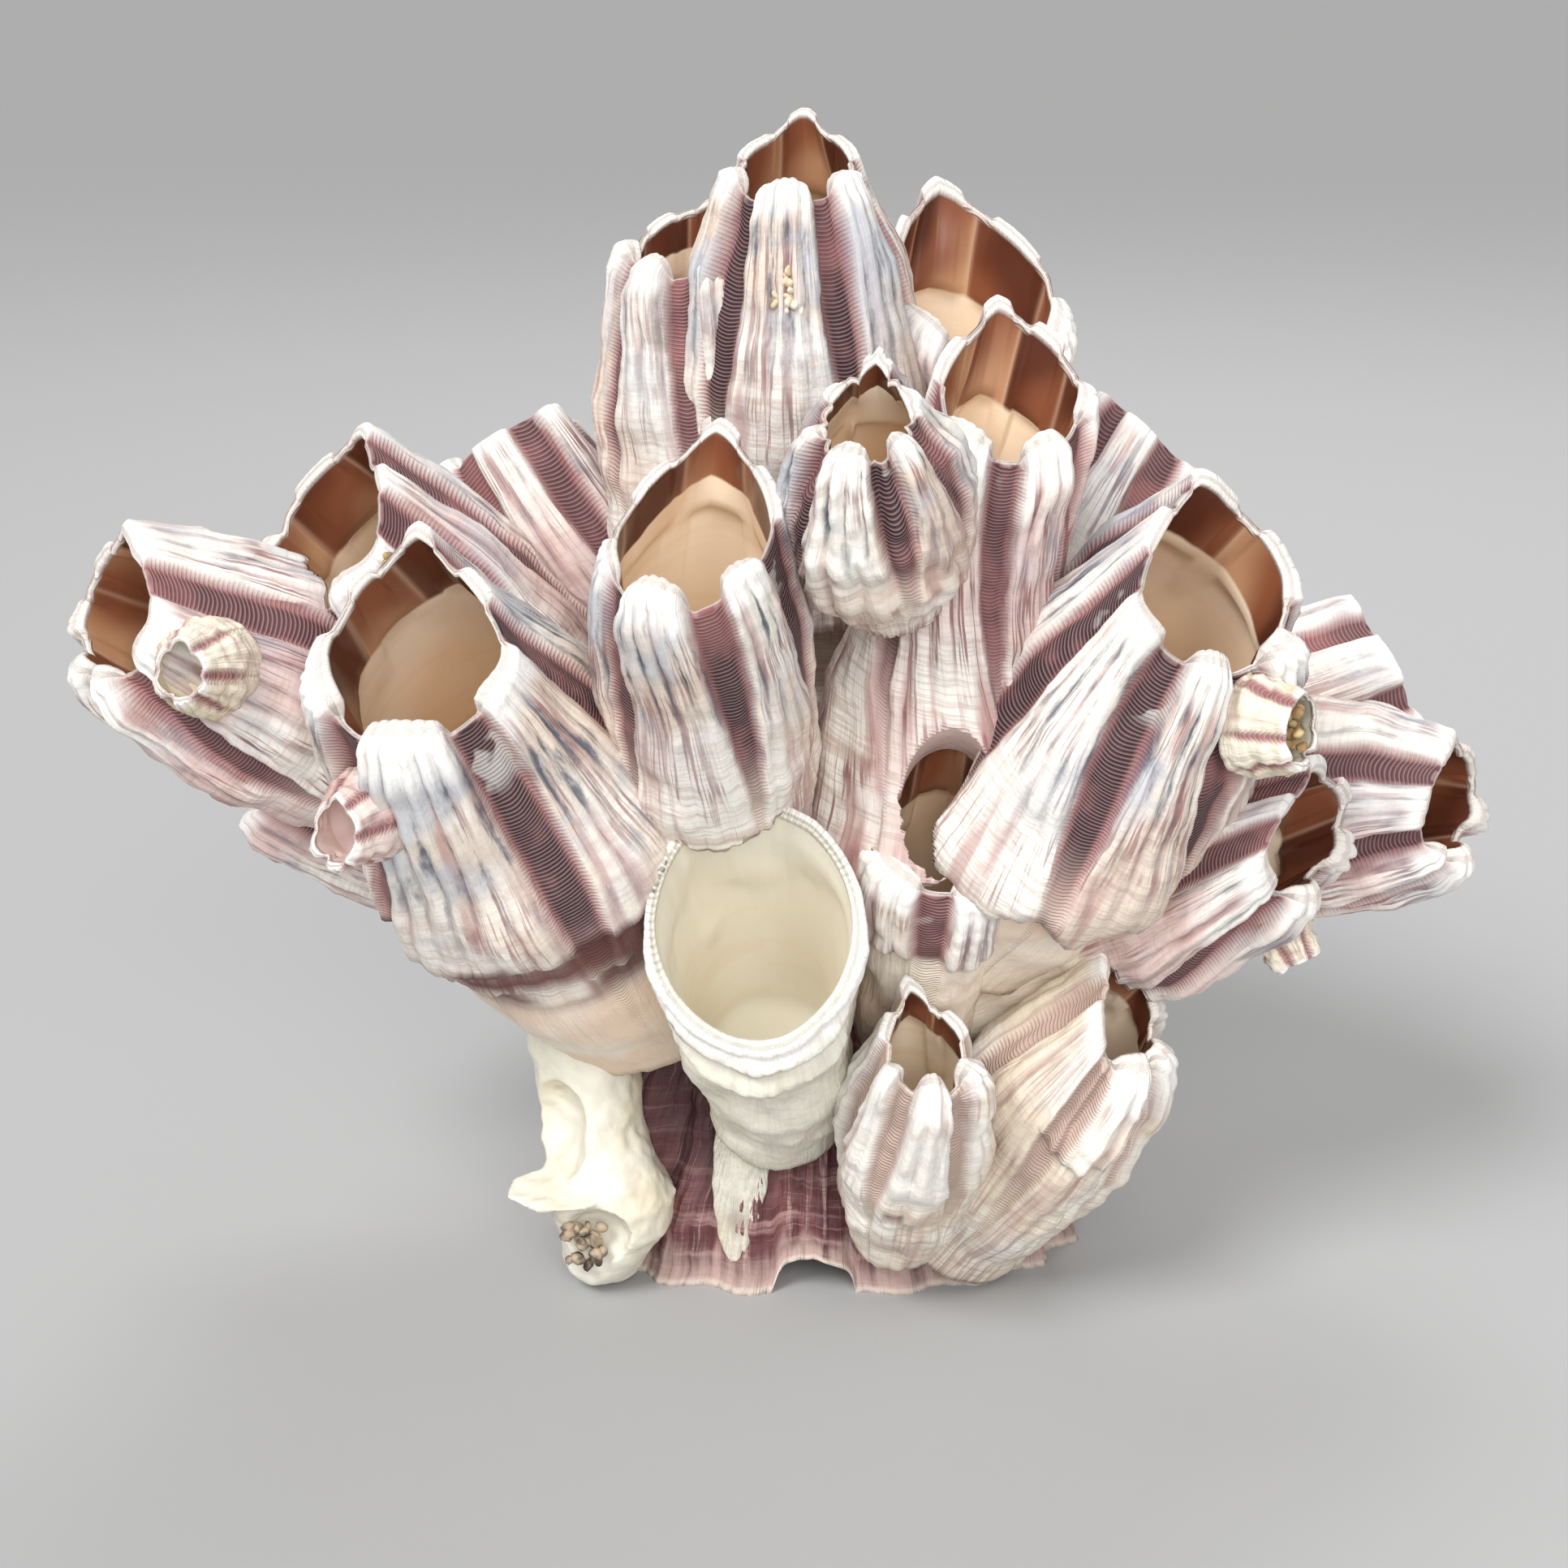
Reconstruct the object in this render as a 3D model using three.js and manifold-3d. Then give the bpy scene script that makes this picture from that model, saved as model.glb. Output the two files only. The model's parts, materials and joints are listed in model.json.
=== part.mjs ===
// Cluster of acorn barnacle shells grown on one another, in millimetres, +Z up.
// The front of the cluster faces -Y. It stands on the flat cut under its lowest shell,
// and the origin is below the middle of the whole cluster, on that cut.
import * as THREE from "three";
import { mergeVertices } from "three/addons/utils/BufferGeometryUtils.js";
import Module from "manifold-3d";

// Driving dimensions
const plates = 6; // wall plates of each shell
const seamGap = 0.35; // clearance between a shell and the shell that it grew on
const lipWall = 1.1; // wall thickness at the mouth
const deepWall = 1.9; // wall thickness at the floor of the hollow
const spatWallShare = 0.7; // the young shells' walls are thinner by this share
const floorDip = 0.08; // how far the middle of a hollow's floor lies below its edge, as a share of length
const plateRelief = 0.07; // how far a plate stands proud of the seams beside it, as a share of the radius
const plateShareAtMouth = 0.56; // share of the way round that plates take at the mouth
const plateShareAtFoot = 0.9; // the same at the foot, where the seams run out
const seamEdge = [-0.22, 0.1]; // where a plate's edge starts and ends, as shares of half a plate
const fluteRelief = 0.04; // depth of the flutes of a fluted shell, as a share of the radius
const centreShift = [2.6, 7.9, 0]; // brings the middle of the cluster over the origin

// Hole broken through the lower wall of the tall shell, in front of the hidden shell's mouth
const brokenHole = {
  at: [12.2, -30, 60.6],
  faces: [0, -0.85, 0.52],
  halfWidth: 4.9,
  halfHeight: 6.8,
  depth: 17,
};

// Worn stub: upright rings of [z, x, half width, y, half depth], hollowed by two scoops
const stub = {
  name: "worn_stub",
  rings: [
    [2.5, -24.9, 3.4, -15, 5],
    [8, -23.6, 6.6, -17, 6.6],
    [11.5, -23.6, 7.3, -16.8, 7.2],
    [15, -24.6, 6.2, -15.6, 6.8],
    [20, -26, 5.6, -14, 6.2],
    [26, -26.4, 5.8, -12.6, 6.4],
    [31, -26.6, 7, -11.5, 7],
  ],
  segments: 10,
  scoops: [
    { at: [-30.5, -20.5, 20], size: [4.6, 5.6, 5.8] },
    { at: [-25.6, -25.5, 8.4], size: [4.8, 6, 4.4] },
  ],
  ledge: { at: [-28.2, -20.4, 13.6], size: [8.6, 4.4, 1.1], tilt: 0.1 },
};

// Tongue of the open base shell, which lies on the front of the foundation
const tongue = { x: -8.6, z: 12, halfWidth: 3.4, halfHeight: 8.5, thickness: 1.1 };

// Foundation shell: two lobes side by side, open underneath and cut off flat
const foundation = {
  name: "foundation_shell",
  width: 61, // along X at the cut
  depth: 43, // along Y at the cut
  height: 36,
  topShare: 0.72, // size of the crown as a share of the cut
  shoulder: 0.45, // where the sides start to draw in faster, as a share of the height
  wall: 5, // at the cut
  hollow: { height: 15, dome: 2, wall: 8 }, // open underside, with the wall at its roof
  segments: 40,
  ribs: 20,
  ribRelief: 0.035,
  waist: 0.07, // how far the outline draws in between the two lobes
  notch: { x: -1, width: 9, height: 4.6 },
  middle: [0, 0, 0],
};

// Each shell is lofted from its foot, which is buried in its host, to its mouth.
// girth: outer radius at the foot, at one third, at two thirds and at the mouth.
// slim: width of the mouth as a share of its height. peak and teeth: rise of the rim.
// cup: where the floor of the hollow is, from 0 at the foot to 1 at the mouth.
const shells = [
  { name: "front_right_shell", mouth: [31.4, -26, 36.3], faces: [0.69, -0.52, 0.5], foot: [15, -12, 5],
    girth: [8, 9.8, 9.6, 6.4], slim: 1, peak: 2, turn: 10, teeth: 1, cup: 0.5, segments: 18 },
  { name: "front_small_shell", mouth: [10, -36, 36.9], faces: [0.14, -0.53, 0.84], foot: [8, -20, 8],
    girth: [5, 7.6, 7.9, 5.9], slim: 0.82, peak: 2.4, turn: 5, teeth: 1, cup: 0.35, segments: 18 },
  { name: "open_base_shell", mouth: [-6.9, -38, 49.6], faces: [0.02, -0.95, 0.3], foot: [-4.9, -14, 20],
    girth: [7, 8.6, 10.8, 14], slim: 0.78, peak: 0, turn: 4, teeth: 0, cup: 0.3, segments: 18,
    relief: 0.015 },
  { name: "hidden_shell", mouth: [12, -28, 59], faces: [0, -0.85, 0.52], foot: [9.5, -10, 26],
    girth: [6.5, 7.6, 8.6, 8.8], slim: 0.95, peak: 1, teeth: 1, cup: 0.4, segments: 12 },
  { name: "back_low_shell", mouth: [2, 29, 30], faces: [0.1, 0.85, 0.5], foot: [1, 12, 14],
    girth: [7, 8.6, 8.8, 7.2], slim: 0.85, peak: 1.5, teeth: 1, cup: 0.5, segments: 12 },
  { name: "left_large_shell", mouth: [-39.5, -40, 79.4], faces: [-0.13, -0.72, 0.68], foot: [-20, -8, 34],
    girth: [13, 16.8, 15.2, 10.2], slim: 0.96, peak: 4.6, turn: 2, teeth: 1.4, cup: 0.5 },
  { name: "centre_left_shell", mouth: [-12.8, -40, 91.3], faces: [-0.15, -0.38, 0.91], foot: [-11, -20, 53],
    girth: [9.5, 11.6, 12.4, 12], slim: 0.68, peak: 3.4, turn: 8, teeth: 1.4, cup: 0.45, segments: 18 },
  { name: "tall_shell", mouth: [17.8, -24, 102], faces: [0, -0.67, 0.74], foot: [8.5, -19, 53],
    girth: [12.6, 11.4, 8.8, 9.2], slim: 0.84, peak: 1.4, turn: 5, teeth: 1.4, cup: 0.55 },
  { name: "right_large_shell", mouth: [37.4, -32, 83.9], faces: [0.23, -0.76, 0.6], foot: [15, -13, 42],
    girth: [10, 14.2, 14.6, 9.4], slim: 0.94, peak: 4.6, turn: 6, teeth: 1.4, cup: 0.5 },
  { name: "right_low_shell", mouth: [48.9, -26, 56.8], faces: [0.69, -0.72, 0.03], foot: [15, -8, 32],
    girth: [7, 7.8, 9.4, 7.4], slim: 1.06, peak: 1.8, turn: 9, teeth: 1, cup: 0.62, segments: 12 },
  { name: "bulb_shell", mouth: [3.2, -42, 102.1], faces: [-0.12, -0.54, 0.83], foot: [6, -28, 82.5],
    girth: [5.5, 9.2, 9.5, 6], slim: 0.8, peak: 1.8, teeth: 0.8, cup: 0.4, flutes: 12, segments: 24 },
  { name: "left_upper_shell", mouth: [-51, -16, 86], faces: [-0.57, -0.52, 0.64], foot: [-24, -2, 52],
    girth: [9, 12.8, 13, 10], slim: 0.96, peak: 3, turn: -3, teeth: 1.2, cup: 0.55, segments: 18 },
  { name: "left_far_shell", mouth: [-71.2, -24, 79.5], faces: [-0.69, -0.6, 0.42], foot: [-40, -8, 58],
    girth: [9.5, 12, 11.8, 7.8], slim: 1.02, peak: 2.2, turn: 2, teeth: 0.8, cup: 0.55, segments: 18 },
  { name: "top_centre_shell", mouth: [-3.3, -8, 121.4], faces: [-0.05, -0.22, 0.98], foot: [-1, 0, 76],
    girth: [11, 13, 12.8, 7.8], slim: 0.88, peak: 3.8, turn: 4, teeth: 1, cup: 0.6, segments: 18 },
  { name: "top_right_shell", mouth: [15.7, 0, 109.2], faces: [0.19, -0.6, 0.78], foot: [11, 4, 74],
    girth: [8, 10, 11.2, 13.2], slim: 0.7, peak: 1, turn: 2, teeth: 1.4, cup: 0.5, segments: 18 },
  { name: "top_left_shell", mouth: [-14.3, -4, 113.8], faces: [-0.14, -0.33, 0.93], foot: [-14, 0, 74],
    girth: [8, 9.6, 9.2, 7], slim: 0.92, peak: 1.6, turn: -5, teeth: 1, cup: 0.6, segments: 18 },
  { name: "left_mid_back_shell", mouth: [-34, 8, 89.5], faces: [-0.3, 0.4, 0.86], foot: [-17, 5, 54],
    girth: [7.5, 9.4, 10, 8.5], slim: 0.9, peak: 1.6, teeth: 1, cup: 0.6, segments: 12 },
  { name: "left_low_back_shell", mouth: [-61, 8, 52], faces: [-0.85, 0.3, 0.35], foot: [-26, 2, 40],
    girth: [8, 10, 10, 8], slim: 0.9, peak: 1.6, teeth: 1, cup: 0.62, segments: 12 },
  { name: "right_far_shell", mouth: [67.2, -12, 55.3], faces: [0.75, -0.63, 0.18], foot: [34, 0, 52],
    girth: [8.5, 11, 11, 6.9], slim: 1.04, peak: 1.8, turn: 5, teeth: 0.8, cup: 0.62, segments: 18 },
  { name: "right_far_upper_shell", mouth: [61.5, 6, 64.5], faces: [0.8, 0.4, 0.45], foot: [35, 6, 55],
    girth: [7, 8.8, 9.4, 8.5], slim: 0.9, peak: 1.4, teeth: 1, cup: 0.62, segments: 12 },
  { name: "right_back_shell", mouth: [35.5, 10, 89], faces: [0.55, 0.35, 0.75], foot: [17, 4, 56],
    girth: [8, 9.8, 10, 8.5], slim: 0.88, peak: 2, teeth: 1, cup: 0.6, segments: 12 },
  { name: "back_middle_shell", mouth: [4, 27, 92], faces: [0.05, 0.6, 0.8], foot: [1, 6, 48],
    girth: [10, 12.4, 12.4, 10], slim: 0.82, peak: 2, teeth: 1.2, cup: 0.6, segments: 12 },
  { name: "back_left_shell", mouth: [-28, 29, 62], faces: [-0.45, 0.8, 0.4], foot: [-8, 6, 38],
    girth: [9, 11, 11.2, 9], slim: 0.85, peak: 2, teeth: 1.2, cup: 0.6, segments: 12 },
  { name: "back_right_shell", mouth: [30, 27, 58], faces: [0.5, 0.8, 0.35], foot: [9, 6, 36],
    girth: [9, 11, 11.2, 9], slim: 0.85, peak: 2, teeth: 1.2, cup: 0.6, segments: 12 },
  // Young shells, each grown on the wall of a large one
  { name: "spat_left_far", mouth: [-62.9, -35.4, 76.6], faces: [-0.21, -0.96, 0.17], foot: [-60.8, -27.5, 75],
    girth: [4.8, 5, 4.2, 2.9], slim: 0.93, peak: 0.2, teeth: 0.4, cup: 0.6, segments: 8 },
  { name: "spat_left_large", mouth: [-46.4, -48, 64.4], faces: [-0.56, -0.8, 0.2], foot: [-42.5, -39, 64.5],
    girth: [4.2, 4.6, 4, 3.2], slim: 0.9, peak: 0.3, teeth: 0.4, cup: 0.6, segments: 8 },
  { name: "spat_right_large", mouth: [45.3, -38, 71.5], faces: [0.78, -0.62, 0.1], foot: [39, -31, 71],
    girth: [6, 5.6, 4.8, 3.6], slim: 0.9, peak: 0.5, teeth: 0.4, cup: 0.6, segments: 8 },
  { name: "spat_right_low", mouth: [49.5, -24, 42], faces: [0.5, -0.3, -0.8], foot: [46, -22, 49],
    girth: [3.6, 3.6, 3, 2.4], slim: 0.85, peak: 0.3, teeth: 0.3, cup: 0.6, segments: 8 },
];

// Colour and gloss of each finish
const finishes = {
  shell: { color: 0xe6dad3, roughness: 0.75, metalness: 0 },
  foundation: { color: 0x8c6468, roughness: 0.75, metalness: 0 },
  worn: { color: 0xe3ddc8, roughness: 0.6, metalness: 0 },
};

const wasm = await Module();
wasm.setup();

const vector = (p) => new THREE.Vector3(...p);
const mix = THREE.MathUtils.lerp;

// Catmull-Rom value through four evenly spaced stations.
function through(stations, t) {
  const last = stations.length - 1;
  const span = Math.min(Math.floor(t * last), last - 1);
  const at = (i) => stations[Math.min(Math.max(i, 0), last)];
  const [a, b, c, d] = [at(span - 1), at(span), at(span + 1), at(span + 2)];
  const u = t * last - span;
  return b + 0.5 * u * (c - a + u * (2 * a - 5 * b + 4 * c - d + u * (3 * (b - c) + d - a)));
}

// How far an angle is into a plate: 1 on the plate, 0 in the seam between two plates.
function plateAt(angle, t) {
  const pitch = (2 * Math.PI) / plates;
  const off = Math.abs(angle / pitch - Math.round(angle / pitch)) * 2; // 0 at the plate's middle
  const share = mix(plateShareAtFoot, plateShareAtMouth, t);
  return THREE.MathUtils.smoothstep(share - off, ...seamEdge);
}

// Centre and axes of the ring at t: up points to the rim's peak, side to its right.
function ringFrame(shell, t) {
  const foot = vector(shell.foot);
  const mouth = vector(shell.mouth);
  const along = mouth.clone().sub(foot).normalize();
  const faces = vector(shell.faces).normalize();
  const normal = along.clone().lerp(faces, t * t).normalize();
  const centre = foot.clone().lerp(mouth, t);
  const turn = THREE.MathUtils.degToRad(shell.turn ?? 0);
  const up = new THREE.Vector3(0, 0, 1).projectOnPlane(normal).normalize().applyAxisAngle(normal, turn);
  const side = new THREE.Vector3().crossVectors(normal, up);
  return { centre, normal, up, side };
}

// A point on the wall: inset moves it inwards from the outer face.
function wallPoint(shell, t, angle, inset, rise = 0) {
  const { centre, normal, up, side } = ringFrame(shell, t);
  const round = through(shell.girth, t);
  const relief = shell.relief ?? plateRelief;
  const flute = shell.flutes ? fluteRelief * Math.cos(shell.flutes * angle) : 0;
  const radius = round * (1 + relief * (plateAt(angle, t) - 0.5) + flute) - inset;
  const slim = mix(1, shell.slim, t);
  return centre
    .addScaledVector(up, radius * Math.cos(angle))
    .addScaledVector(side, radius * slim * Math.sin(angle))
    .addScaledVector(normal, rise);
}

// Height of the rim above the mouth's plane: a peak on the upper side and a tooth on each plate.
function rimRise(shell, angle) {
  const peak = shell.peak * Math.max(0, Math.cos(angle)) ** 3;
  return peak + shell.teeth * (plateAt(angle, 1) - 0.5);
}

// Closed loft over rings of equal length, with a point at each end.
function loft(rings, startPole, endPole) {
  const count = rings[0].length;
  const points = [startPole, ...rings.flat(), endPole];
  const index = [];
  for (let i = 0; i < count; i++) {
    const j = (i + 1) % count;
    index.push(0, 1 + j, 1 + i);
    for (let r = 0; r < rings.length - 1; r++) {
      const low = 1 + r * count;
      const high = low + count;
      index.push(low + i, low + j, high + j, low + i, high + j, high + i);
    }
    const top = 1 + (rings.length - 1) * count;
    index.push(top + i, top + j, points.length - 1);
  }
  const geometry = new THREE.BufferGeometry().setFromPoints(points);
  geometry.setIndex(index);
  return geometry;
}

function ring(count, place) {
  return Array.from({ length: count }, (_, i) => place((2 * Math.PI * i) / count));
}

const stations = [0, 1 / 3, 2 / 3, 1]; // shares of the length at which a shell's girth is given

// The whole shell: outer wall, rim, inner wall and the floor of the hollow.
function shellGeometry(shell) {
  const count = shell.segments ?? 24;
  const rings = stations.map((t) =>
    ring(count, (a) => wallPoint(shell, t, a, 0, t === 1 ? rimRise(shell, a) : 0)),
  );
  for (const t of [1, shell.cup]) {
    const wall = mix(deepWall, lipWall, t) * (shell.name.startsWith("spat") ? spatWallShare : 1);
    rings.push(ring(count, (a) => wallPoint(shell, t, a, wall, t === 1 ? rimRise(shell, a) : 0)));
  }
  const foot = ringFrame(shell, 0).centre;
  const floor = ringFrame(shell, shell.cup - floorDip).centre;
  return loft(rings, foot, floor);
}

// The same outer wall a little larger and closed over its mouth, to cut away what grew on it.
function plugGeometry(shell) {
  const count = shell.segments ?? 24;
  const rings = stations.map((t) =>
    ring(count, (a) => wallPoint(shell, t, a, -seamGap, t === 1 ? rimRise(shell, a) + seamGap : 0)),
  );
  const { centre, normal } = ringFrame(shell, 1);
  return loft(rings, ringFrame(shell, 0).centre, centre.addScaledVector(normal, seamGap));
}

function solidOf(geometry) {
  const bare = geometry.clone();
  bare.deleteAttribute("normal");
  bare.deleteAttribute("uv");
  const merged = mergeVertices(bare, 1e-4);
  return new wasm.Manifold(
    new wasm.Mesh({
      numProp: 3,
      vertProperties: merged.attributes.position.array,
      triVerts: new Uint32Array(merged.index.array),
    }),
  );
}

function geometryOf(solid) {
  const mesh = solid.getMesh();
  const geometry = new THREE.BufferGeometry();
  geometry.setAttribute("position", new THREE.BufferAttribute(mesh.vertProperties, 3));
  geometry.setIndex(new THREE.BufferAttribute(mesh.triVerts, 1));
  geometry.computeVertexNormals();
  return geometry;
}

// Outline of the foundation at a share of its height, grown outwards by grow.
function foundationPoint(share, angle, inset, z) {
  const size = mix(1, foundation.topShare, share ** 0.8);
  const lobes = 1 - foundation.waist * Math.sin(angle) ** 4;
  const rib = 1 + foundation.ribRelief * Math.cos(foundation.ribs * angle);
  const x = (foundation.width / 2) * size * lobes * rib - inset;
  const y = (foundation.depth / 2) * size * lobes * rib - inset;
  const [cx, cy] = foundation.middle;
  return new THREE.Vector3(cx + x * Math.cos(angle), cy + y * Math.sin(angle), z);
}

function foundationOuter(grow) {
  const shares = [0, foundation.shoulder, 1];
  const rings = shares.map((s) =>
    ring(foundation.segments, (a) => foundationPoint(s, a, -grow, s * foundation.height + (s ? grow : 0))),
  );
  const [x, y] = foundation.middle;
  return solidOf(loft(rings, new THREE.Vector3(x, y, 0), new THREE.Vector3(x, y, foundation.height + grow)));
}

function foundationSolid() {
  const { wall, hollow, notch, segments } = foundation;
  const below = ring(segments, (a) => foundationPoint(0, a, wall, -1));
  const above = ring(segments, (a) => foundationPoint(0.3, a, hollow.wall, hollow.height));
  const [x, y] = foundation.middle;
  const roof = new THREE.Vector3(x, y, hollow.height + hollow.dome);
  const inside = loft([below, above], new THREE.Vector3(x, y, -1), roof);
  const arch = new THREE.CylinderGeometry(notch.width / 2, notch.width / 2, foundation.depth, 12);
  arch.scale(1, 1, notch.height / (notch.width / 2));
  arch.translate(notch.x, -foundation.depth / 2, 0);
  return foundationOuter(0).subtract(solidOf(inside)).subtract(solidOf(arch));
}

// Ellipsoid of the given half sizes.
function ellipsoid({ at, size }) {
  const geometry = new THREE.SphereGeometry(1, 10, 6);
  geometry.scale(...size);
  geometry.translate(...at);
  return solidOf(geometry);
}

function stubSolid() {
  const rings = stub.rings.map(([z, x, halfWidth, y, halfDepth]) =>
    ring(
      stub.segments,
      (a) => new THREE.Vector3(x + halfWidth * Math.cos(a), y + halfDepth * Math.sin(a), z),
    ),
  );
  const poleOf = ([z, x, , y]) => new THREE.Vector3(x, y, z);
  const { at, size, tilt } = stub.ledge;
  const ledge = new THREE.BoxGeometry(...size).rotateX(tilt).translate(...at);
  let solid = solidOf(loft(rings, poleOf(stub.rings[0]), poleOf(stub.rings.at(-1))));
  for (const scoop of stub.scoops) solid = solid.subtract(ellipsoid(scoop));
  return solid.add(solidOf(ledge));
}

// Elliptical bar through the tall shell's wall
function brokenHoleSolid() {
  const { at, faces, halfWidth, halfHeight, depth } = brokenHole;
  const bar = new THREE.CylinderGeometry(1, 1, depth, 12);
  bar.scale(halfWidth, 1, halfHeight);
  const upright = new THREE.Vector3(0, 1, 0);
  bar.applyQuaternion(new THREE.Quaternion().setFromUnitVectors(upright, vector(faces).normalize()));
  return solidOf(bar.translate(...at));
}

// Skin of the foundation's own curve, cut out by an upright ellipse
function tongueSolid() {
  const { x, z, halfWidth, halfHeight, thickness } = tongue;
  const bar = new THREE.CylinderGeometry(1, 1, foundation.depth / 2, 12);
  bar.scale(halfWidth, 1, halfHeight);
  bar.translate(x, -foundation.depth / 2, z);
  return foundationOuter(seamGap + thickness).intersect(solidOf(bar)).subtract(foundationOuter(seamGap));
}

// The biggest body of a cut solid; thin slivers beside the seams are dropped.
const largest = (solid) => solid.decompose().sort((a, b) => b.volume() - a.volume())[0];

function meshOf(name, solid, finish) {
  const mesh = new THREE.Mesh(geometryOf(solid), new THREE.MeshStandardMaterial(finish));
  mesh.name = name;
  return mesh;
}

// Each shell in the order in which it grew, cut where it meets those before it.
function growCluster() {
  const cluster = new THREE.Group();
  cluster.add(meshOf(foundation.name, foundationSolid(), finishes.foundation));
  const grown = [foundationOuter(seamGap)];
  for (const shell of shells) {
    let solid = solidOf(shellGeometry(shell));
    if (shell.name === "tall_shell") solid = solid.subtract(brokenHoleSolid());
    for (const host of grown) solid = solid.subtract(host);
    if (shell.name === "open_base_shell") solid = solid.add(tongueSolid());
    cluster.add(meshOf(shell.name, largest(solid), finishes.shell));
    grown.push(solidOf(plugGeometry(shell)));
  }
  let solid = stubSolid();
  for (const host of grown) solid = solid.subtract(host);
  cluster.add(meshOf(stub.name, largest(solid), finishes.worn));
  cluster.position.set(...centreShift);
  return cluster;
}

export default growCluster();
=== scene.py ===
import json
import math
import time

import bpy
import numpy as np
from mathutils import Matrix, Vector

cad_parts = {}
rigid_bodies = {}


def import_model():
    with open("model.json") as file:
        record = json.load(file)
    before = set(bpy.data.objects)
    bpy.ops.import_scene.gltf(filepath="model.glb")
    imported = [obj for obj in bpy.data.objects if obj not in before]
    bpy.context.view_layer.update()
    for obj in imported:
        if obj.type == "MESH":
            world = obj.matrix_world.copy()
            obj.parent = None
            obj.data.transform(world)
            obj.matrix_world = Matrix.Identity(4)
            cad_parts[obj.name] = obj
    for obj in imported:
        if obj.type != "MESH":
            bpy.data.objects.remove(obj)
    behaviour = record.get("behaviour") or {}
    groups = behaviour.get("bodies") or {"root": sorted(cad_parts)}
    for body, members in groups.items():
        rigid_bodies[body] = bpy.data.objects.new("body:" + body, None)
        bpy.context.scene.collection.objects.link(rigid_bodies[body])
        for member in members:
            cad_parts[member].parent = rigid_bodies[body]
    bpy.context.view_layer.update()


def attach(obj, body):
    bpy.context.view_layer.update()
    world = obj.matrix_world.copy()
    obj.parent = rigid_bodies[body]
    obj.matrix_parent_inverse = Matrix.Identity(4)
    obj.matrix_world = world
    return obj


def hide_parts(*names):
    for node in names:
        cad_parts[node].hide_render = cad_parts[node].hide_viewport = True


started = time.time()
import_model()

mm = 0.001
centreShift = np.array([2.6, 7.9, 0.0])  # same shift as the CAD part, brings the middle over the origin


def say(stage):
    print(f"{stage}: {time.time() - started:.1f} s", flush=True)


def smooth(low, high, x):
    u = np.clip((x - low) / (high - low), 0, 1)
    return u * u * (3 - 2 * u)


def mix(a, b, f):
    return a + (b - a) * f


# curve through four evenly spaced values, for t from 0 to 1
def through(values, t):
    v = np.array([values[0], *values, values[3]], float)
    k = np.clip((t * 3).astype(int), 0, 2)
    u = t * 3 - k
    a, b, c, d = v[k], v[k + 1], v[k + 2], v[k + 3]
    return b + 0.5 * u * (c - a + u * (2 * a - 5 * b + 4 * c - d + u * (3 * (b - c) + d - a)))


# smooth random values over a plane that wraps around in x
def softNoise(rng, x, y, cellsX, cellsY):
    grid = rng.uniform(-1, 1, (cellsY + 2, cellsX))
    gx = x * cellsX
    gy = np.clip(y, 0, 1) * cellsY
    ix, iy = np.floor(gx).astype(int), np.minimum(np.floor(gy).astype(int), cellsY)
    fx, fy = gx - ix, gy - iy
    fx, fy = fx * fx * (3 - 2 * fx), fy * fy * (3 - 2 * fy)
    x0, x1 = ix % cellsX, (ix + 1) % cellsX
    top = grid[iy, x0] * (1 - fx) + grid[iy, x1] * fx
    low = grid[iy + 1, x0] * (1 - fx) + grid[iy + 1, x1] * fx
    return top * (1 - fy) + low * fy


def unit(v):
    return v / np.linalg.norm(v, axis=-1, keepdims=True)


# centre and axes of the ring at each t, as in the CAD part
def ringFrame(s, t):
    foot, mouth = np.array(s["foot"], float), np.array(s["mouth"], float)
    along = unit(mouth - foot)
    faces = unit(np.array(s["faces"], float))
    f = (t * t)[:, None]
    normal = unit(along * (1 - f) + faces * f)
    up = unit(np.array([0, 0, 1.0]) - normal * normal[:, 2:3])
    turn = math.radians(s["turn"])
    up = up * math.cos(turn) + np.cross(normal, up) * math.sin(turn)
    side = np.cross(normal, up)
    return foot + (mouth - foot) * t[:, None], normal, up, side


# a flat grid whose columns go round the piece and whose rows go along its wall
def gridPiece(name, columns, rows):
    bpy.ops.object.select_all(action="DESELECT")
    bpy.ops.mesh.primitive_grid_add(x_subdivisions=columns, y_subdivisions=rows, size=1, location=(0, 0, 0))
    piece = bpy.context.object
    piece.name = name
    piece.data.name = name
    flat = np.empty(len(piece.data.vertices) * 3)
    piece.data.vertices.foreach_get("co", flat)
    flat = flat.reshape(-1, 3)
    return piece, flat[:, 0] + 0.5, flat[:, 1] + 0.5


def writePoints(piece, points):
    piece.data.vertices.foreach_set("co", ((points + centreShift) * mm).ravel())
    piece.data.update()


def writeMap(piece, x, y):
    order = np.empty(len(piece.data.loops), int)
    piece.data.loops.foreach_get("vertex_index", order)
    layer = piece.data.uv_layers.active
    layer.name = "shellMap"
    layer.data.foreach_set("uv", np.stack([x[order], y[order]], 1).ravel())


def writeValues(piece, **values):
    for key, value in values.items():
        layer = piece.data.attributes.new(key, "FLOAT", "POINT")
        layer.data.foreach_set("value", np.ascontiguousarray(value, dtype=np.float32))


def pick(piece):
    bpy.ops.object.select_all(action="DESELECT")
    piece.select_set(True)
    bpy.context.view_layer.objects.active = piece


def settle(piece):
    pick(piece)
    bpy.ops.object.transform_apply(location=True, rotation=True, scale=True)


def useModifier(piece, modifier):
    bpy.context.view_layer.objects.active = piece
    bpy.ops.object.modifier_apply(modifier=modifier.name)


def dress(piece, material):
    piece.data.materials.clear()
    piece.data.materials.append(material)


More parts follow.
